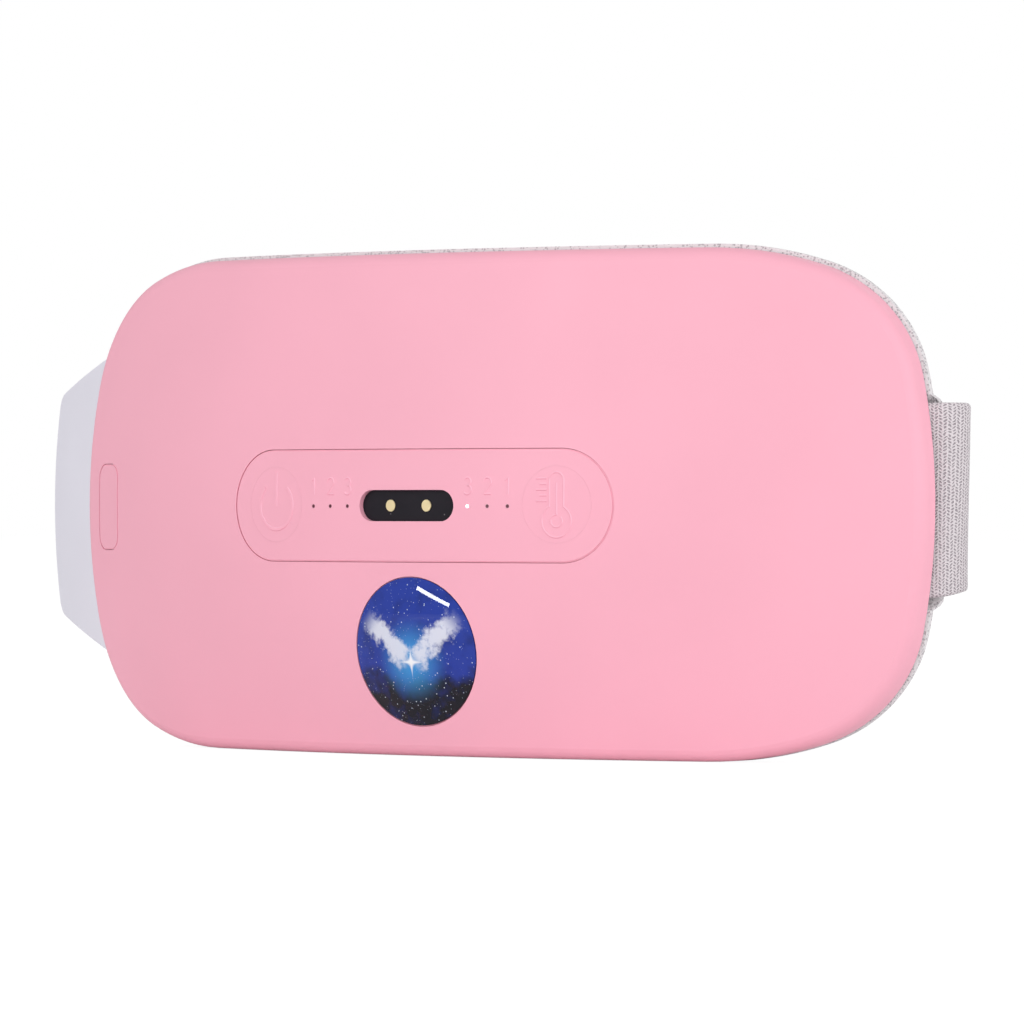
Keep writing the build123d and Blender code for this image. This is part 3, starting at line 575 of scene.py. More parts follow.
class MASK_OT_marks(PieceOperator, bpy.types.Operator):
    """Raise the power sign, the thermometer and the level numbers"""
    bl_idname = "mask.marks"
    bl_label = "Key Marks"

    ring_radius = 4.3 * MM
    ring_gap = 42
    bar_top = 5.9 * MM
    tube_radius = 1.4 * MM
    bulb_radius = 2.9 * MM
    column_radius = 1.1 * MM
    digit_height = 3.0 * MM
    digit_rise = 3.3 * MM

    def execute(self, context):
        material = mark_material()
        x, z = middle_of("power_key")
        ring = arc(x, z - 0.2 * MM, self.ring_radius, 90 + self.ring_gap, 450 - self.ring_gap, 48)
        bar = line((x, z + self.bar_top), (x, z - 0.4 * MM))
        marks("power_sign", [ring, bar], 0.78 * MM, "power_key", material)
        x, z = middle_of("heat_key")
        self.thermometer(x, z, material)
        self.levels(material)
        return {"FINISHED"}

    def thermometer(self, x, z, material):
        tube, bulb = self.tube_radius, self.bulb_radius
        bulb_z = z - bulb
        top_z = z + 4.3 * MM
        gap = math.degrees(math.asin(tube / bulb))
        case = arc(x, bulb_z, bulb, 90 + gap, 450 - gap, 40)
        case += line((x + tube, case[-1][1]), (x + tube, top_z))[1:]
        case += arc(x, top_z, tube, 0, 180, 16)[1:]
        case += line((x - tube, top_z), (x - tube, case[0][1]))[1:-1]
        column = line((x, top_z - 0.4 * MM), (x, bulb_z + self.column_radius))
        column += arc(x, bulb_z, self.column_radius, 90, 400, 20)[1:]
        ticks = []
        for i in range(5):
            length = (2.1 if i % 2 == 0 else 1.4) * MM
            height = z + 4.6 * MM - i * MM
            start = x - 1.9 * MM
            ticks.append(line((start, height), (start - length, height), 2))
        marks("thermometer_sign", [case, column] + ticks, 0.46 * MM, "heat_key", material, closed=(0,))

    def levels(self, material):
        """The numbers 3, 2 and 1 outwards from the port on both sides, one over each lamp."""
        near, _ = middle_of("led_window_lit")
        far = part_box("led_chips")[1][0] - 0.8 * MM
        strokes = []
        for side in (-1, 1):
            for i in range(3):
                x = side * (near + (far - near) * i / 2)
                strokes += scaled(digit_strokes(3 - i), x, self.digit_rise, self.digit_height)
        marks("level_numbers", strokes, 0.44 * MM, "housing", material)


class MASK_OT_port(PieceOperator, bpy.types.Operator):
    """Finish the charging port, its contacts and the level lamps"""
    bl_idname = "mask.port"
    bl_label = "Port and Lamps"

    def execute(self, context):
        paint("port_plate", self.plate())
        paint("port_contacts", moulded("gold_contact", tuple(colours().contact), 0.34, 0.04, 0.0001,
                                       0.000004, Metallic=0.85))
        paint("led_windows", moulded("lamp_off", srgb(96, 38, 52), 0.3, 0.03))
        lit = moulded("lamp_lit", srgb(255, 250, 252), 0.3, 0.0)
        shader = lit.node_tree.nodes["Principled BSDF"]
        shader.inputs["Emission Color"].default_value = (1.0, 0.97, 0.98, 1.0)
        shader.inputs["Emission Strength"].default_value = 1.6
        paint("led_window_lit", lit)
        return {"FINISHED"}

    def plate(self):
        """Satin black plastic with a few specks of dust."""
        n = Nodes("port_black")
        place = n.place()
        colour = tuple(colours().port)
        dust = n.node("ShaderNodeTexVoronoi", {"Vector": place, "Scale": 620.0, "Randomness": 1.0})
        speck = n.ramp(dust.outputs["Distance"], 0.05, 0.12, 1.0, 0.0)
        patch = n.ramp(n.noise(place, 240.0, 2.0), 0.55, 0.72)
        n.set(Base_Color=n.mix(n.math("MULTIPLY", n.math("MULTIPLY", speck, patch), 0.6), colour,
                               (0.35, 0.32, 0.34)))
        n.set(Roughness=n.ramp(n.noise(place, 500.0, 3.0), 0.3, 0.7, 0.38, 0.52))
        n.set(Normal=n.bump(n.noise(place, 6000.0, 2.0), 0.000006))
        n.set(Specular_IOR_Level=0.12)
        return n.material


class MASK_OT_cabochon(PieceOperator, bpy.types.Operator):
    """Finish the glass cabochon: a polished skin over its dome, with the night sky under it"""
    bl_idname = "mask.cabochon"
    bl_label = "Cabochon"

    rise = 1.7 * MM
    polish = 0.02 * MM

    def execute(self, context):
        sky = night_sky_material()
        paint("crystal_dome", sky)
        paint("crystal_backing", moulded("backing_red", srgb(120, 24, 44), 0.5))
        x, z = middle_of("crystal_dome")
        low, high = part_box("crystal_dome")
        radius = (high[0] - low[0]) / 2 - self.polish
        spot = dome_point(x, z)
        out = (spot - APEX - Vector((0, sizes().dome_radius, 0))).normalized()
        across = Vector((0, 0, 1)).cross(out).normalized()
        up = out.cross(across)
        ball = (radius ** 2 + self.rise ** 2) / (2 * self.rise)
        foot = self.rise - sag(radius, 0) - ball + self.polish
        rings = []
        for i in range(40):
            r = radius * (i + 1) / 40
            height = foot + math.sqrt(ball ** 2 - r * r)
            rings.append([spot + out * height + (across * math.cos(a) + up * math.sin(a)) * r
                          for a in (2 * math.pi * k / 160 for k in range(160))])
        rings.append([p - out * 4 * self.polish for p in rings[-1]])
        mesh = ring_mesh("cabochon_polish", rings)
        shade_smooth(mesh, 50)
        new_piece("cabochon_polish", mesh, sky, "housing")
        return {"FINISHED"}


class MASK_OT_cushion(PieceOperator, bpy.types.Operator):
    """Build the face cushion: crowned foam under a knitted cover, with seams and stitches"""
    bl_idname = "mask.cushion"
    bl_label = "Face Cushion"

    front_depth = 4.3 * MM
    proud = 0.35 * MM
    spine = 50 * MM
    edge_round = 9.0 * MM
    seam_inset = 7.5 * MM
    seam_depth = 0.75 * MM
    seam_width = 0.8 * MM
    middle = 21.0 * MM
    face_radius = 150.0 * MM
    lobe_start = HALF_WIDTH - 24.5 * MM
    eye_reach = 32 * MM
    eye_rise = 2 * MM
    eye_half_length = 23 * MM
    eye_half_height = 14 * MM
    eye_floor = 18.6 * MM
    nose_top = -14 * MM
    nose_height = 31 * MM
    nose_fade = -17 * MM, -12 * MM
    nose_half_width = 13 * MM
    nose_floor = 15.2 * MM
    cage_size = 4.0 * MM
    pressure = 4.0
    frames = 20
    most = 1.4 * MM
    most_sideways = 0.3 * MM

    def execute(self, context):
        c = colours()
        cover = speckled_material("cushion_knit", tuple(c.cushion), tuple(c.cushion_hole_shade),
                                  sizes().mesh_pitch)
        self.shape_rear()
        mesh = self.skin()
        self.swell(mesh)
        shade_smooth(mesh, 60)
        pad = new_piece("cushion_cover", mesh, cover, "housing")
        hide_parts("face_cushion")
        cover_points = [v.co for v in mesh.vertices]
        self.stitches(BVHTree.FromPolygons(cover_points, [p.vertices for p in mesh.polygons]))
        return {"FINISHED"}

    def swell(self, skin):
        """Blow a coarse copy of the pad up as cloth and carry its movement over to the fine skin."""
        scene = bpy.context.scene
        cage = bpy.data.objects.new("cushion_cage", skin.copy())
        scene.collection.objects.link(cage)
        remesh = cage.modifiers.new("even", "REMESH")
        remesh.mode = "VOXEL"
        remesh.voxel_size = self.cage_size
        even = bpy.data.meshes.new_from_object(cage.evaluated_get(bpy.context.evaluated_depsgraph_get()))
        cage.modifiers.clear()
        cage.data = even
        rest = [v.co.copy() for v in even.vertices]
        free = [self.freedom(p) for p in rest]
        pins = cage.vertex_groups.new(name="held")
        for i, share in enumerate(free):
            pins.add([i], 1 - share, "REPLACE")
        cloth = cage.modifiers.new("pressure", "CLOTH")
        cloth.settings.use_pressure = True
        cloth.settings.uniform_pressure_force = self.pressure
        cloth.settings.vertex_group_mass = pins.name
        cloth.settings.effector_weights.gravity = 0.0
        cloth.point_cache.frame_start = 1
        cloth.point_cache.frame_end = self.frames
        for number in range(1, self.frames + 1):
            scene.frame_set(number)
        moved = cage.evaluated_get(bpy.context.evaluated_depsgraph_get()).data
        shifts = [(v.co - p) * share for v, p, share in zip(moved.vertices, rest, free)]
        caps = (self.most_sideways, self.most, self.most_sideways)
        shifts = [Vector([min(max(part, -cap), cap) for part, cap in zip(s, caps)]) for s in shifts]
        tree = KDTree(len(rest))
        for i, p in enumerate(rest):
            tree.insert(p, i)
        tree.balance()
        for vertex in skin.vertices:
            near = tree.find_n(vertex.co, 8)
            weights = [math.exp(-(distance / self.cage_size) ** 2) for _, _, distance in near]
            shift = sum((shifts[i] * w for (_, i, _), w in zip(near, weights)), Vector()) / sum(weights)
            vertex.co += shift * self.freedom(vertex.co)
        scene.frame_set(1)
        bpy.data.objects.remove(cage)

    def freedom(self, point):
        """How freely the cover moves at a point: not at all in front, where it is taped and clamped."""
        x, z = point.x - APEX.x, point.z - APEX.z
        behind = point.y - APEX.y - sag(x, z) - self.front_depth
        return smooth(3.0 * MM, 9.0 * MM, behind)

    def shape_rear(self):
        """The arcs that end the hollow rear: a lobe at each end, and a crown over the height."""
        peak = self.hollow(self.lobe_start)
        self.lobe = circle_through((self.lobe_start, peak), (HALF_WIDTH - 8.5 * MM, peak - 1.5 * MM),
                                   (HALF_WIDTH + self.proud, peak - 9.3 * MM))
        top = HALF_HEIGHT + 2 * self.proud
        self.crown = circle_through((-top, peak - 12 * MM), (0.0, peak), (top, peak - 12 * MM))

    def hollow(self, x):
        return self.middle + self.face_radius - math.sqrt(self.face_radius ** 2 - x * x)

    def reach(self, x, z):
        """The nearest spot on the pad's level spine, and how far off it is."""
        spot = min(max(x, -self.spine), self.spine)
        return spot, math.hypot(x - spot, z)

    def at(self, x, z, depth):
        return Vector((APEX.x + x, APEX.y + depth, APEX.z + z + self.proud))

    def rear(self, x, z, inset):
        """Depth behind the apex of the cushion's rear face, an inset in from its edge."""
        ax = abs(x)
        if ax <= self.lobe_start:
            depth = self.hollow(ax)
        else:
            cx, cy, radius = self.lobe
            depth = cy + math.sqrt(max(radius ** 2 - (ax - cx) ** 2, 0.0))
        _, cy, radius = self.crown
        depth = soft_min(depth, cy + math.sqrt(max(radius ** 2 - z * z, 0.0)), 3.0 * MM)
        depth += 0.5 * MM * smooth(0.0, 14 * MM, inset)
        depth = self.nose_notch(self.eye_hollows(depth, x, z), ax, z)
        short = max(0.0, 1 - inset / self.edge_round)
        depth -= 0.72 * self.edge_round * (1 - math.sqrt(1 - short * short))
        depth -= self.seam_depth * math.exp(-((inset - self.seam_inset) / self.seam_width) ** 2)
        return max(depth, sag(x, z) + self.front_edge(x, z) + 1.0 * MM)

    def eye_hollows(self, depth, x, z):
        """Sink an oval bowl over each eye, with a pressed line round it."""
        for side in (-1, 1):
            far = math.hypot((x - side * self.eye_reach) / self.eye_half_length,
                             (z - self.eye_rise) / self.eye_half_height)
            floor = self.eye_floor + 1.2 * MM * far * far
            if floor < depth:
                depth += (floor - depth) * (1 - smooth(0.80, 1.14, far))
            depth -= 0.55 * MM * math.exp(-((far - 1.26) * 18 * MM / (1.0 * MM)) ** 2)
        return depth

    def nose_notch(self, depth, ax, z):
        """Sink a notch that widens down to the lower edge."""
        if depth <= self.nose_floor:
            return depth
        reach = max(0.0, (self.nose_top - z) / self.nose_height)
        half = self.nose_half_width * min(reach, 1.0) ** 0.8
        inside = 1 - smooth(half - 3 * MM, half + 2.5 * MM, ax) if z < self.nose_fade[1] else 0.0
        inside *= 1 - smooth(*self.nose_fade, z)
        return depth + (self.nose_floor - depth) * inside

    def front_edge(self, x, z):
        """Depth of the cushion's front behind the dome, deeper where the strap and the tab pass."""
        depth = self.front_depth
        if x > 0.075:
            depth += 2.65 * MM * (1 - smooth(17.7 * MM, 18.5 * MM, abs(z)))
        if x < -0.075:
            tab = 32.6 * MM - 0.293 * (-x - 79 * MM) + 0.5 * MM
            depth += 2.0 * MM * (1 - smooth(tab, tab + 0.8 * MM, abs(z)))
        return depth

    def skin(self):
        count = sizes().outline_points
        edge = outline(self.proud, count)
        rings = []
        kinds = []

        def ring(share, rear):
            row = []
            for x, z in edge:
                spot, reach = self.reach(x, z)
                px, pz = spot + (x - spot) * (1 - share), z * (1 - share)
                depth = self.rear(px, pz, share * reach) if rear else sag(px, pz) + self.front_edge(px, pz)
                row.append(self.at(px, pz, depth))
            return row

        for share in (0.985, 0.8, 0.6, 0.45, 0.33, 0.22, 0.13, 0.07, 0.03, 0.008):
            rings.append(ring(share, False))
            kinds.append("front")
        first, last = ring(0.0, False), ring(0.0, True)
        for i in range(9):
            rings.append([a.lerp(b, i / 8) for a, b in zip(first, last)])
            kinds.append("side")
        steps = 84
        for i in range(1, steps):
            rings.append(ring((i / steps) ** 1.35, True))
            kinds.append("rear")
        starts = [0.0]
        for i in range(count):
            starts.append(starts[i] + math.dist(edge[i], edge[(i + 1) % count]))

        def uvs(row, k):
            point = rings[row][k % count]
            if kinds[row] == "side":
                return starts[k], point.y
            return point.x * 1.03, point.z

        return ring_mesh("cushion_cover", rings, uvs=uvs)

    def stitches(self, cover):
        """A row of short threads in the seam where the face panel joins the side band."""
        material = moulded("cushion_thread", srgb(244, 241, 246), 0.7, 0.03, 0.0001, 0.00001)
        count = 2400
        edge = outline(self.proud, count)
        path = []
        for x, z in edge:
            spot, reach = self.reach(x, z)
            share = self.seam_inset / reach
            px, pz = spot + (x - spot) * (1 - share), z * (1 - share)
            depth = self.rear(px, pz, self.seam_inset) + 0.05 * MM
            path.append(cover.find_nearest(self.at(px, pz, depth))[:2])
        bm = bmesh.new()
        pitch = sizes().stitch_length
        travelled = 0.0
        next_stitch = 0.0
        run = []
        for i in range(count):
            a, b = path[i], path[(i + 1) % count]
            if travelled >= next_stitch:
                run.append(a)
                if travelled >= next_stitch + pitch * 0.68:
                    thread(bm, run, 0.30 * MM)
                    run = []
                    next_stitch += pitch
            travelled += (b[0] - a[0]).length
        mesh = bpy.data.meshes.new("cushion_stitches")
        bm.to_mesh(mesh)
        bm.free()
        shade_smooth(mesh, 80)
        new_piece("cushion_stitches", mesh, material, "housing")


def circle_through(a, b, c):
    """Centre and radius of the circle through three points."""
    (ax, ay), (bx, by), (cx, cy) = a, b, c
    qa, qb, qc = ax * ax + ay * ay, bx * bx + by * by, cx * cx + cy * cy
    d = 2 * (ax * (by - cy) + bx * (cy - ay) + cx * (ay - by))
    ux = (qa * (by - cy) + qb * (cy - ay) + qc * (ay - by)) / d
    uy = (qa * (cx - bx) + qb * (ax - cx) + qc * (bx - ax)) / d
    return ux, uy, math.hypot(ax - ux, ay - uy)


def thread(bm, points, radius, sides=6):
    """A short thread along points and normals of the cloth, which dips in at both ends."""
    rows = []
    for i, (p, out) in enumerate(points):
        t = i / max(len(points) - 1, 1)
        ahead = points[min(i + 1, len(points) - 1)][0] - points[max(i - 1, 0)][0]
        ahead.normalize()
        side = ahead.cross(out).normalized()
        out = side.cross(ahead).normalized()
        swell = math.sin(math.pi * min(max(t, 0.06), 0.94))
        lift = p + out * radius * (swell * 1.1 - 0.5)
        r = radius * (0.45 + 0.55 * swell)
        rows.append([bm.verts.new(lift + (side * math.cos(2 * math.pi * k / sides)
                                          + out * math.sin(2 * math.pi * k / sides)) * r)
                     for k in range(sides)])
    for a, b in zip(rows, rows[1:]):
        for k in range(sides):
            m = (k + 1) % sides
            bm.faces.new((a[k], a[m], b[m], b[k]))
    bm.faces.new(reversed(rows[0]))
    bm.faces.new(rows[-1])


class StrapPath:
    """The strap's middle line in plan, as headings and distances from the apex."""

    depth = 5.8 * MM
    inside = 17.5 * MM
    exit_inset = 0.1 * MM
    fold_radius = 4.0 * MM
    fold_heading = 150.0
    fold_step = 0.3 * MM
    straight = 19.0 * MM
    bend_radius = 20.0 * MM
    back_heading = 173.0
    half_band = 17.5 * MM
    patch_depth = (4.2 + 1.7 + 0.05 + 0.9) * MM
    patch_clearance = (0.4 + 0.85) * MM
    tail_overlap = 1.2 * MM
    tail_turn = 59.0
    tail_bend = 23.0

    def __init__(self):
        self.radius = sizes().dome_radius
        self.points = []
        self.walk()

    def add(self, x, y, heading):
        self.points.append((x, y, heading))

    def turn(self, point, heading, radius, angle, step=0.6 * MM):
        sign = 1 if angle > 0 else -1
        count = max(int(abs(radius * math.radians(angle)) / step), 10)
        h0 = math.radians(heading)
        for i in range(1, count + 1):
            h1 = math.radians(heading + angle * i / count)
            x = point[0] + sign * radius * (math.sin(h1) - math.sin(h0))
            y = point[1] - sign * radius * (math.cos(h1) - math.cos(h0))
            self.add(x, y, math.degrees(h1))
        return (x, y), heading + angle

    def run(self, point, heading, length, step=0.8 * MM):
        a = math.radians(heading)
        count = max(int(length / step), 2)
        for i in range(1, count + 1):
            d = length * i / count
            self.add(point[0] + d * math.cos(a), point[1] + d * math.sin(a), heading)
        return (self.points[-1][0], self.points[-1][1]), heading

    def bridge(self, start, end, count=190):
        """A smooth curve between two points with known headings."""
        (x0, y0), h0 = start
        (x1, y1), h1 = end
        reach = math.hypot(x1 - x0, y1 - y0)
        t0 = (reach * math.cos(math.radians(h0)), reach * math.sin(math.radians(h0)))
        t1 = (reach * math.cos(math.radians(h1)), reach * math.sin(math.radians(h1)))
        for i in range(1, count + 1):
            t = i / count
            a, b, c, d = 2*t**3 - 3*t**2 + 1, t**3 - 2*t**2 + t, 3*t**2 - 2*t**3, t**3 - t**2
            x = a * x0 + b * t0[0] + c * x1 + d * t1[0]
            y = a * y0 + b * t0[1] + c * y1 + d * t1[1]
            self.add(x, y, h0 + (h1 - h0) * t)

    def arc_start(self, end, radius, start_heading, end_heading):
        sign = 1 if end_heading > start_heading else -1
        h0, h1 = math.radians(start_heading), math.radians(end_heading)
        return (end[0] - sign * radius * (math.sin(h1) - math.sin(h0)),
                end[1] + sign * radius * (math.cos(h1) - math.cos(h0)))

    def walk(self):
        """From the clamp, out of the shell's end, back behind the pad and on to the hook patch."""
        r = self.radius
        middle = r + self.depth
        start_x, exit_x = HALF_WIDTH - self.inside, HALF_WIDTH - self.exit_inset
        h = math.degrees(math.asin(start_x / r))
        p = (start_x, middle - math.sqrt(r * r - start_x ** 2))
        self.add(p[0], p[1], h)
        p, h = self.turn(p, h, r, math.degrees(math.asin(exit_x / r)) - h)
        p, h = self.turn(p, h, self.fold_radius, self.fold_heading - h, self.fold_step)
        p, h = self.run(p, h, self.straight)
        p, h = self.turn(p, h, self.bend_radius, self.back_heading - h)
        over = r + self.patch_depth + sag(0, self.half_band) + self.patch_clearance
        patch_low, patch_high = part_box("hook_patch")
        tail_x = -patch_high[0] - self.tail_overlap
        h_in = 180 - math.degrees(math.asin(tail_x / r))
        h_out = 180 - math.degrees(math.asin((-patch_low[0] - 1.0 * MM) / r))
        tail = (-tail_x, over - math.sqrt(r * r - tail_x ** 2))
        low = self.arc_start(tail, self.fold_radius, h_in + self.tail_turn, h_in)
        a = math.radians(h_in + self.tail_turn)
        high = (low[0] - self.straight * math.cos(a), low[1] - self.straight * math.sin(a))
        h_after = h_in + self.tail_turn - self.tail_bend
        after = self.arc_start(high, self.bend_radius, h_after, h_in + self.tail_turn)
        self.bridge((p, h), (after, h_after))
        p, h = self.turn(after, h_after, self.bend_radius, self.tail_bend)
        p, h = self.run(p, h, self.straight)
        p, h = self.turn(p, h, self.fold_radius, -self.tail_turn, self.fold_step)
        self.turn(p, h, r, h_out - h_in)


class MASK_OT_strap(PieceOperator, bpy.types.Operator):
    """Build the knitted elastic strap along its folded path"""
    bl_idname = "mask.strap"
    bl_label = "Strap"

    def execute(self, context):
        c = colours()
        pitch = sizes().knit_pitch
        knit = knit_material("strap_knit", tuple(c.strap), tuple(c.knit_hole_shade), pitch, pitch * 0.85,
                             0.75, 0.30, 0.00020)
        low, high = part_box("strap")
        mesh = self.band(low[2] - APEX.z, high[2] - APEX.z)
        shade_smooth(mesh, 50)
        strap = new_piece("strap_band", mesh, knit, "housing")
        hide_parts("strap")
        length = sum(math.dist(a[:2], b[:2]) for a, b in zip(self.path, self.path[1:]))
        return {"FINISHED"}

    def band(self, low, high):
        self.path = StrapPath().points
        half = 0.85 * MM
        rings = []
        travelled = 0.0
        along = []
        for i, (x, y, heading) in enumerate(self.path):
            if i:
                travelled += math.dist(self.path[i - 1][:2], (x, y))
            along.append(travelled)
            fold = smooth(17 * MM, 27 * MM, travelled)
            bottom = low + (1.3 + 1.1 * fold) * MM
            top = high + 0.15 * MM
            a = math.radians(heading)
            nx, ny = -math.sin(a), math.cos(a)
            row = []
            for side, height in self.section(bottom, top, half):
                px = x + nx * side
                sunk = smooth(0.0, 1.0, (top - height) / (top - bottom))
                px -= 0.36 * max(px - HALF_WIDTH, 0.0) * sunk
                row.append(Vector((APEX.x + px, APEX.y + y + ny * side, APEX.z + height)))
            rings.append(row)
        section = self.section(low, high, half)
        count = len(section)
        round_section = [0.0]
        for i in range(count):
            round_section.append(round_section[-1] + math.dist(section[i], section[(i + 1) % count]))

        def uvs(row, k):
            return along[row], round_section[k]

        return ring_mesh("strap_band", rings, uvs=uvs)

    def section(self, low, high, half):
        """The band's cross-section: flat faces and soft, slightly thick selvedges."""
        points = []
        for end, sign in ((high, 1), (low, -1)):
            for i in range(7):
                a = math.pi * i / 6
                points.append((-sign * half * math.cos(a), end - sign * half * (1 - math.sin(a))))
            inner = 14
            for i in range(1, inner):
                t = i / inner
                start = end - sign * half
                stop = (low + half) if sign == 1 else (high - half)
                edge = min(t, 1 - t)
                side = sign * half * (0.93 + 0.07 * (1 - smooth(0.0, 0.08, edge)))
                points.append((side, start + (stop - start) * t))
        return points


class MASK_OT_tab(PieceOperator, bpy.types.Operator):
    """Finish the hook tab, its hook patch and the cushion's tapes"""
    bl_idname = "mask.tab"
    bl_label = "Hook Tab"

    def execute(self, context):
        paint("hook_tab", moulded("tab_coated", tuple(colours().tab), 0.42, 0.012, 0.0004, 0.000008))
        paint("hook_patch", self.hooks())
        paint("cushion_tapes", self.hooks())
        return {"FINISHED"}

    def hooks(self):
        """Hook tape: rows of tiny hooks on a woven ground."""
        n = Nodes("hook_tape")
        place = n.place()
        cells = n.node("ShaderNodeTexVoronoi", {"Vector": place, "Scale": 900.0, "Randomness": 0.25})
        hook = n.ramp(cells.outputs["Distance"], 0.1, 0.45, 1.0, 0.0)
        n.set(Base_Color=n.mix(hook, srgb(150, 146, 158), srgb(206, 203, 214)))
        n.set(Normal=n.bump(hook, 0.0003))
        n.set(Roughness=0.7)
        return n.material


class MASK_OT_inside(PieceOperator, bpy.types.Operator):
    """Finish the back cover and the pieces inside the housing"""
    bl_idname = "mask.inside"
    bl_label = "Inner Pieces"

    def execute(self, context):
        steel = moulded("bright_steel", srgb(180, 180, 184), 0.32, 0.04, 0.0002, 0.000004, Metallic=1.0)
        dark = moulded("moulded_dark", srgb(40, 40, 44), 0.4)
        brass = moulded("sintered_brass", srgb(186, 160, 104), 0.45, 0.06, 0.0002, 0.00001, Metallic=1.0)
        cover = moulded("cover_white", tuple(colours().cover), 0.48, 0.01, 0.0003, 0.000008)
        lead = moulded("lead_red", srgb(176, 34, 34), 0.5, 0.03)
        finishes = {
            steel: ("housing_screws", "strap_clamp", "strap_rivets", "tab_clamp", "tab_rivets",
                    "motor_left", "motor_right", "motor_shaft_left", "motor_shaft_right", "port_magnets"),
            dark: ("side_switch", "board_chips", "tact_switches", "temperature_sensor"),
            brass: ("motor_weight_left", "motor_weight_right"),
            cover: ("back_cover", "led_chips"),
            lead: ("battery_leads", "motor_leads"),
            moulded("solder_mask", srgb(24, 92, 54), 0.35, 0.06, 0.0006, 0.00002): ("main_board",),
            moulded("battery_foil", srgb(176, 178, 184), 0.3, 0.05, 0.002, 0.00003, Metallic=0.9):
                ("battery",),
            moulded("foam_tape", srgb(196, 194, 188), 0.9, 0.08, 0.0004, 0.00006): ("battery_tape",),
            moulded("polyimide", srgb(196, 124, 44), 0.3, 0.06, 0.001, 0.00001): ("heating_films",),
        }
        for material, nodes in finishes.items():
            for node in nodes:
                paint(node, material)
        return {"FINISHED"}


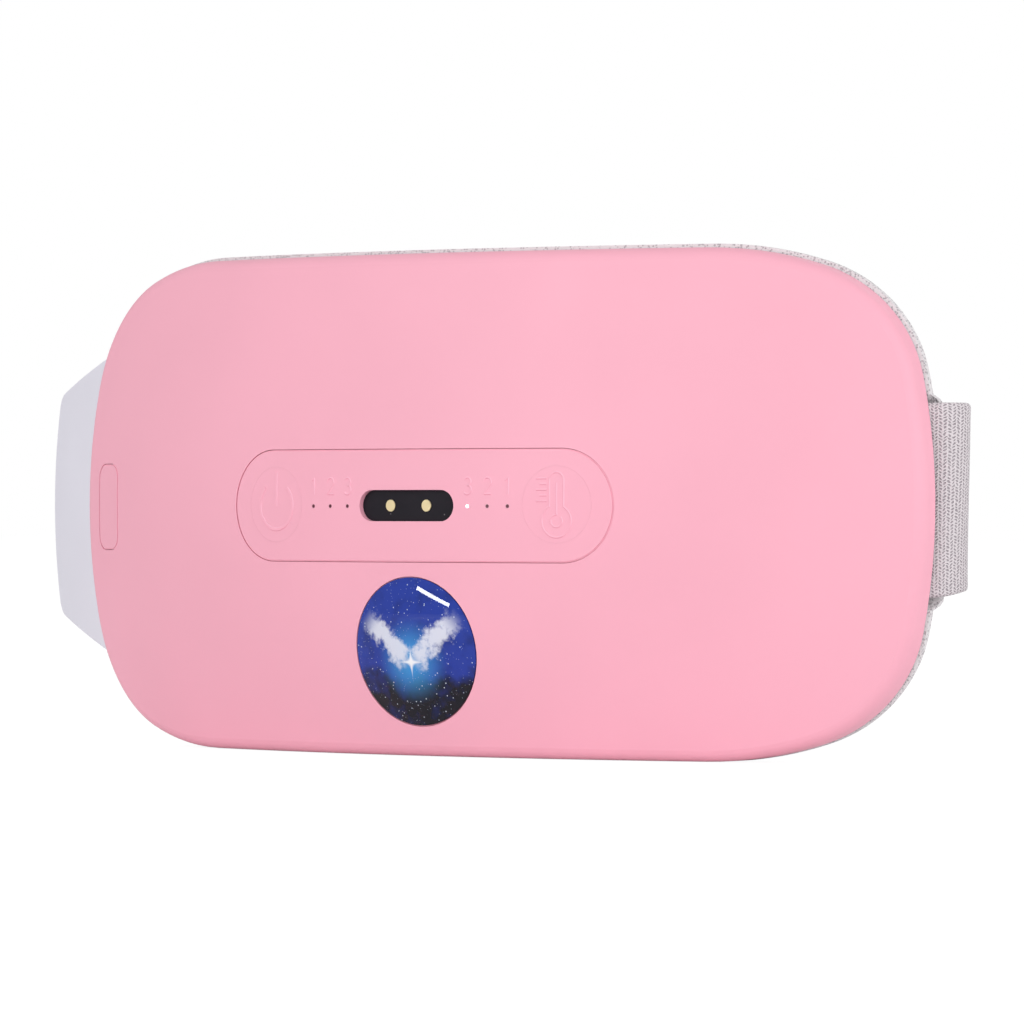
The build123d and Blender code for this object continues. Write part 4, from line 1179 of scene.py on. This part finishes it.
class MASK_OT_stage(PieceOperator, bpy.types.Operator):
    """Set the pale floor, the soft lights and the camera"""
    bl_idname = "mask.stage"
    bl_label = "Stage"

    azimuth: FloatProperty(name="Azimuth", description="Camera angle round the mask",
                           default=math.radians(38.3), subtype="ANGLE", unit="ROTATION")
    distance: FloatProperty(name="Distance", description="From the camera to the dome's apex",
                            default=1.209, subtype="DISTANCE", unit="LENGTH")
    lens: FloatProperty(name="Lens", description="Focal length in millimetres", default=238.57)

    def execute(self, context):
        self.floor()
        self.world(context)
        self.camera(context)
        self.lamps()
        context.scene.view_settings.view_transform = "Standard"
        return {"FINISHED"}

    def floor(self):
        mesh = bpy.data.meshes.new("floor")
        bm = bmesh.new()
        bmesh.ops.create_grid(bm, x_segments=1, y_segments=1, size=6.0)
        bm.to_mesh(mesh)
        bm.free()
        floor = bpy.data.objects.new("floor", mesh)
        bpy.context.scene.collection.objects.link(floor)
        floor.location.z = CAD_BOX[0][2] - 0.0001
        n = Nodes("pale_floor")
        n.set(Base_Color=(0.86, 0.86, 0.86, 1), Roughness=0.9, Specular_IOR_Level=0.0)
        path = n.node("ShaderNodeLightPath")
        glow = n.node("ShaderNodeEmission", {"Color": (1.0, 1.0, 1.0, 1.0), "Strength": 1.15})
        seen = n.math("MULTIPLY", path.outputs["Is Camera Ray"], 0.80)
        blend = n.node("ShaderNodeMixShader", {0: seen, 1: n.shader.outputs[0], 2: glow.outputs[0]})
        n.tree.links.new(blend.outputs[0], n.tree.nodes["Material Output"].inputs["Surface"])
        floor.data.materials.append(n.material)

    def world(self, context):
        world = bpy.data.worlds.new("studio")
        context.scene.world = world
        world.use_nodes = True
        tree = world.node_tree
        background = tree.nodes["Background"]
        path = tree.nodes.new("ShaderNodeLightPath")
        add = tree.nodes.new("ShaderNodeMath")
        add.operation = "MAXIMUM"
        tree.links.new(path.outputs["Is Camera Ray"], add.inputs[0])
        tree.links.new(path.outputs["Is Transmission Ray"], add.inputs[1])
        strength = tree.nodes.new("ShaderNodeMapRange")
        strength.inputs["To Min"].default_value = 0.50
        strength.inputs["To Max"].default_value = 1.0
        tree.links.new(add.outputs[0], strength.inputs["Value"])
        tree.links.new(strength.outputs["Result"], background.inputs["Strength"])
        background.inputs["Color"].default_value = (1, 1, 1, 1)

    def camera(self, context):
        a = self.azimuth
        away = Vector((math.sin(a), -math.cos(a), 0.0))
        right = Vector((math.cos(a), math.sin(a), 0.0))
        data = bpy.data.cameras.new("camera")
        data.lens = self.lens
        data.sensor_width = 36.0
        data.clip_start = 0.05
        data.clip_end = 40.0
        camera = bpy.data.objects.new("camera", data)
        context.scene.collection.objects.link(camera)
        camera.location = APEX + away * self.distance
        target = APEX + right * 0.01901 + Vector((0, 0, -0.00134))
        camera.rotation_euler = (target - camera.location).to_track_quat("-Z", "Y").to_euler()
        context.scene.camera = camera

    def lamps(self):
        for name, azimuth, height, distance, size, roll, power in (
                ("key", 70, 0.55, 1.5, (0.9, 0.9), 0, 6.4),
                ("front", 25, 0.25, 1.8, (1.1, 1.1), 0, 4.6),
                ("fill", -15, 0.9, 1.8, (0.9, 0.9), 0, 8.4),
                ("side", 115, 0.35, 1.4, (0.8, 0.8), 0, 3.6),
                ("back", 190, 0.9, 1.8, (1.2, 1.2), 0, 5.0),
                ("strip_light", -26.3, 0.061, 0.85, (0.255, 0.020), -19, 0.5)):
            data = bpy.data.lights.new(name, "AREA")
            data.shape = "RECTANGLE"
            data.size, data.size_y = size
            data.energy = power
            lamp = bpy.data.objects.new(name, data)
            bpy.context.scene.collection.objects.link(lamp)
            a = math.radians(azimuth)
            lamp.location = APEX + Vector((math.sin(a) * distance, -math.cos(a) * distance, height))
            aim = (APEX - lamp.location).to_track_quat("-Z", "Y")
            lamp.rotation_euler = (aim @ Quaternion((0.0, 0.0, 1.0), math.radians(roll))).to_euler()


class MASK_PT_panel(bpy.types.Panel):
    """The mask's pieces, one button for each"""
    bl_idname = "MASK_PT_panel"
    bl_label = "Eye Massager Mask"
    bl_space_type = "VIEW_3D"
    bl_region_type = "UI"
    bl_category = "Mask"

    def draw(self, context):
        for step in STEPS:
            self.layout.operator(step.bl_idname)
        for group in (context.scene.mask_sizes, context.scene.mask_colours):
            box = self.layout.box()
            for name in group.__annotations__:
                box.prop(group, name)


STEPS = (MASK_OT_shell, MASK_OT_marks, MASK_OT_port, MASK_OT_cabochon, MASK_OT_cushion,
         MASK_OT_strap, MASK_OT_tab, MASK_OT_inside, MASK_OT_stage)
CLASSES = (MaskSizes, MaskColours, *STEPS, MASK_PT_panel)


def register():
    for cls in CLASSES:
        bpy.utils.register_class(cls)
    bpy.types.Scene.mask_sizes = PointerProperty(type=MaskSizes)
    bpy.types.Scene.mask_colours = PointerProperty(type=MaskColours)


def unregister():
    del bpy.types.Scene.mask_sizes
    del bpy.types.Scene.mask_colours
    for cls in reversed(CLASSES):
        bpy.utils.unregister_class(cls)


def main():
    register()
    for step in STEPS:
        group, name = step.bl_idname.split(".")
        getattr(getattr(bpy.ops, group), name)()


if __name__ == "__main__":
    main()
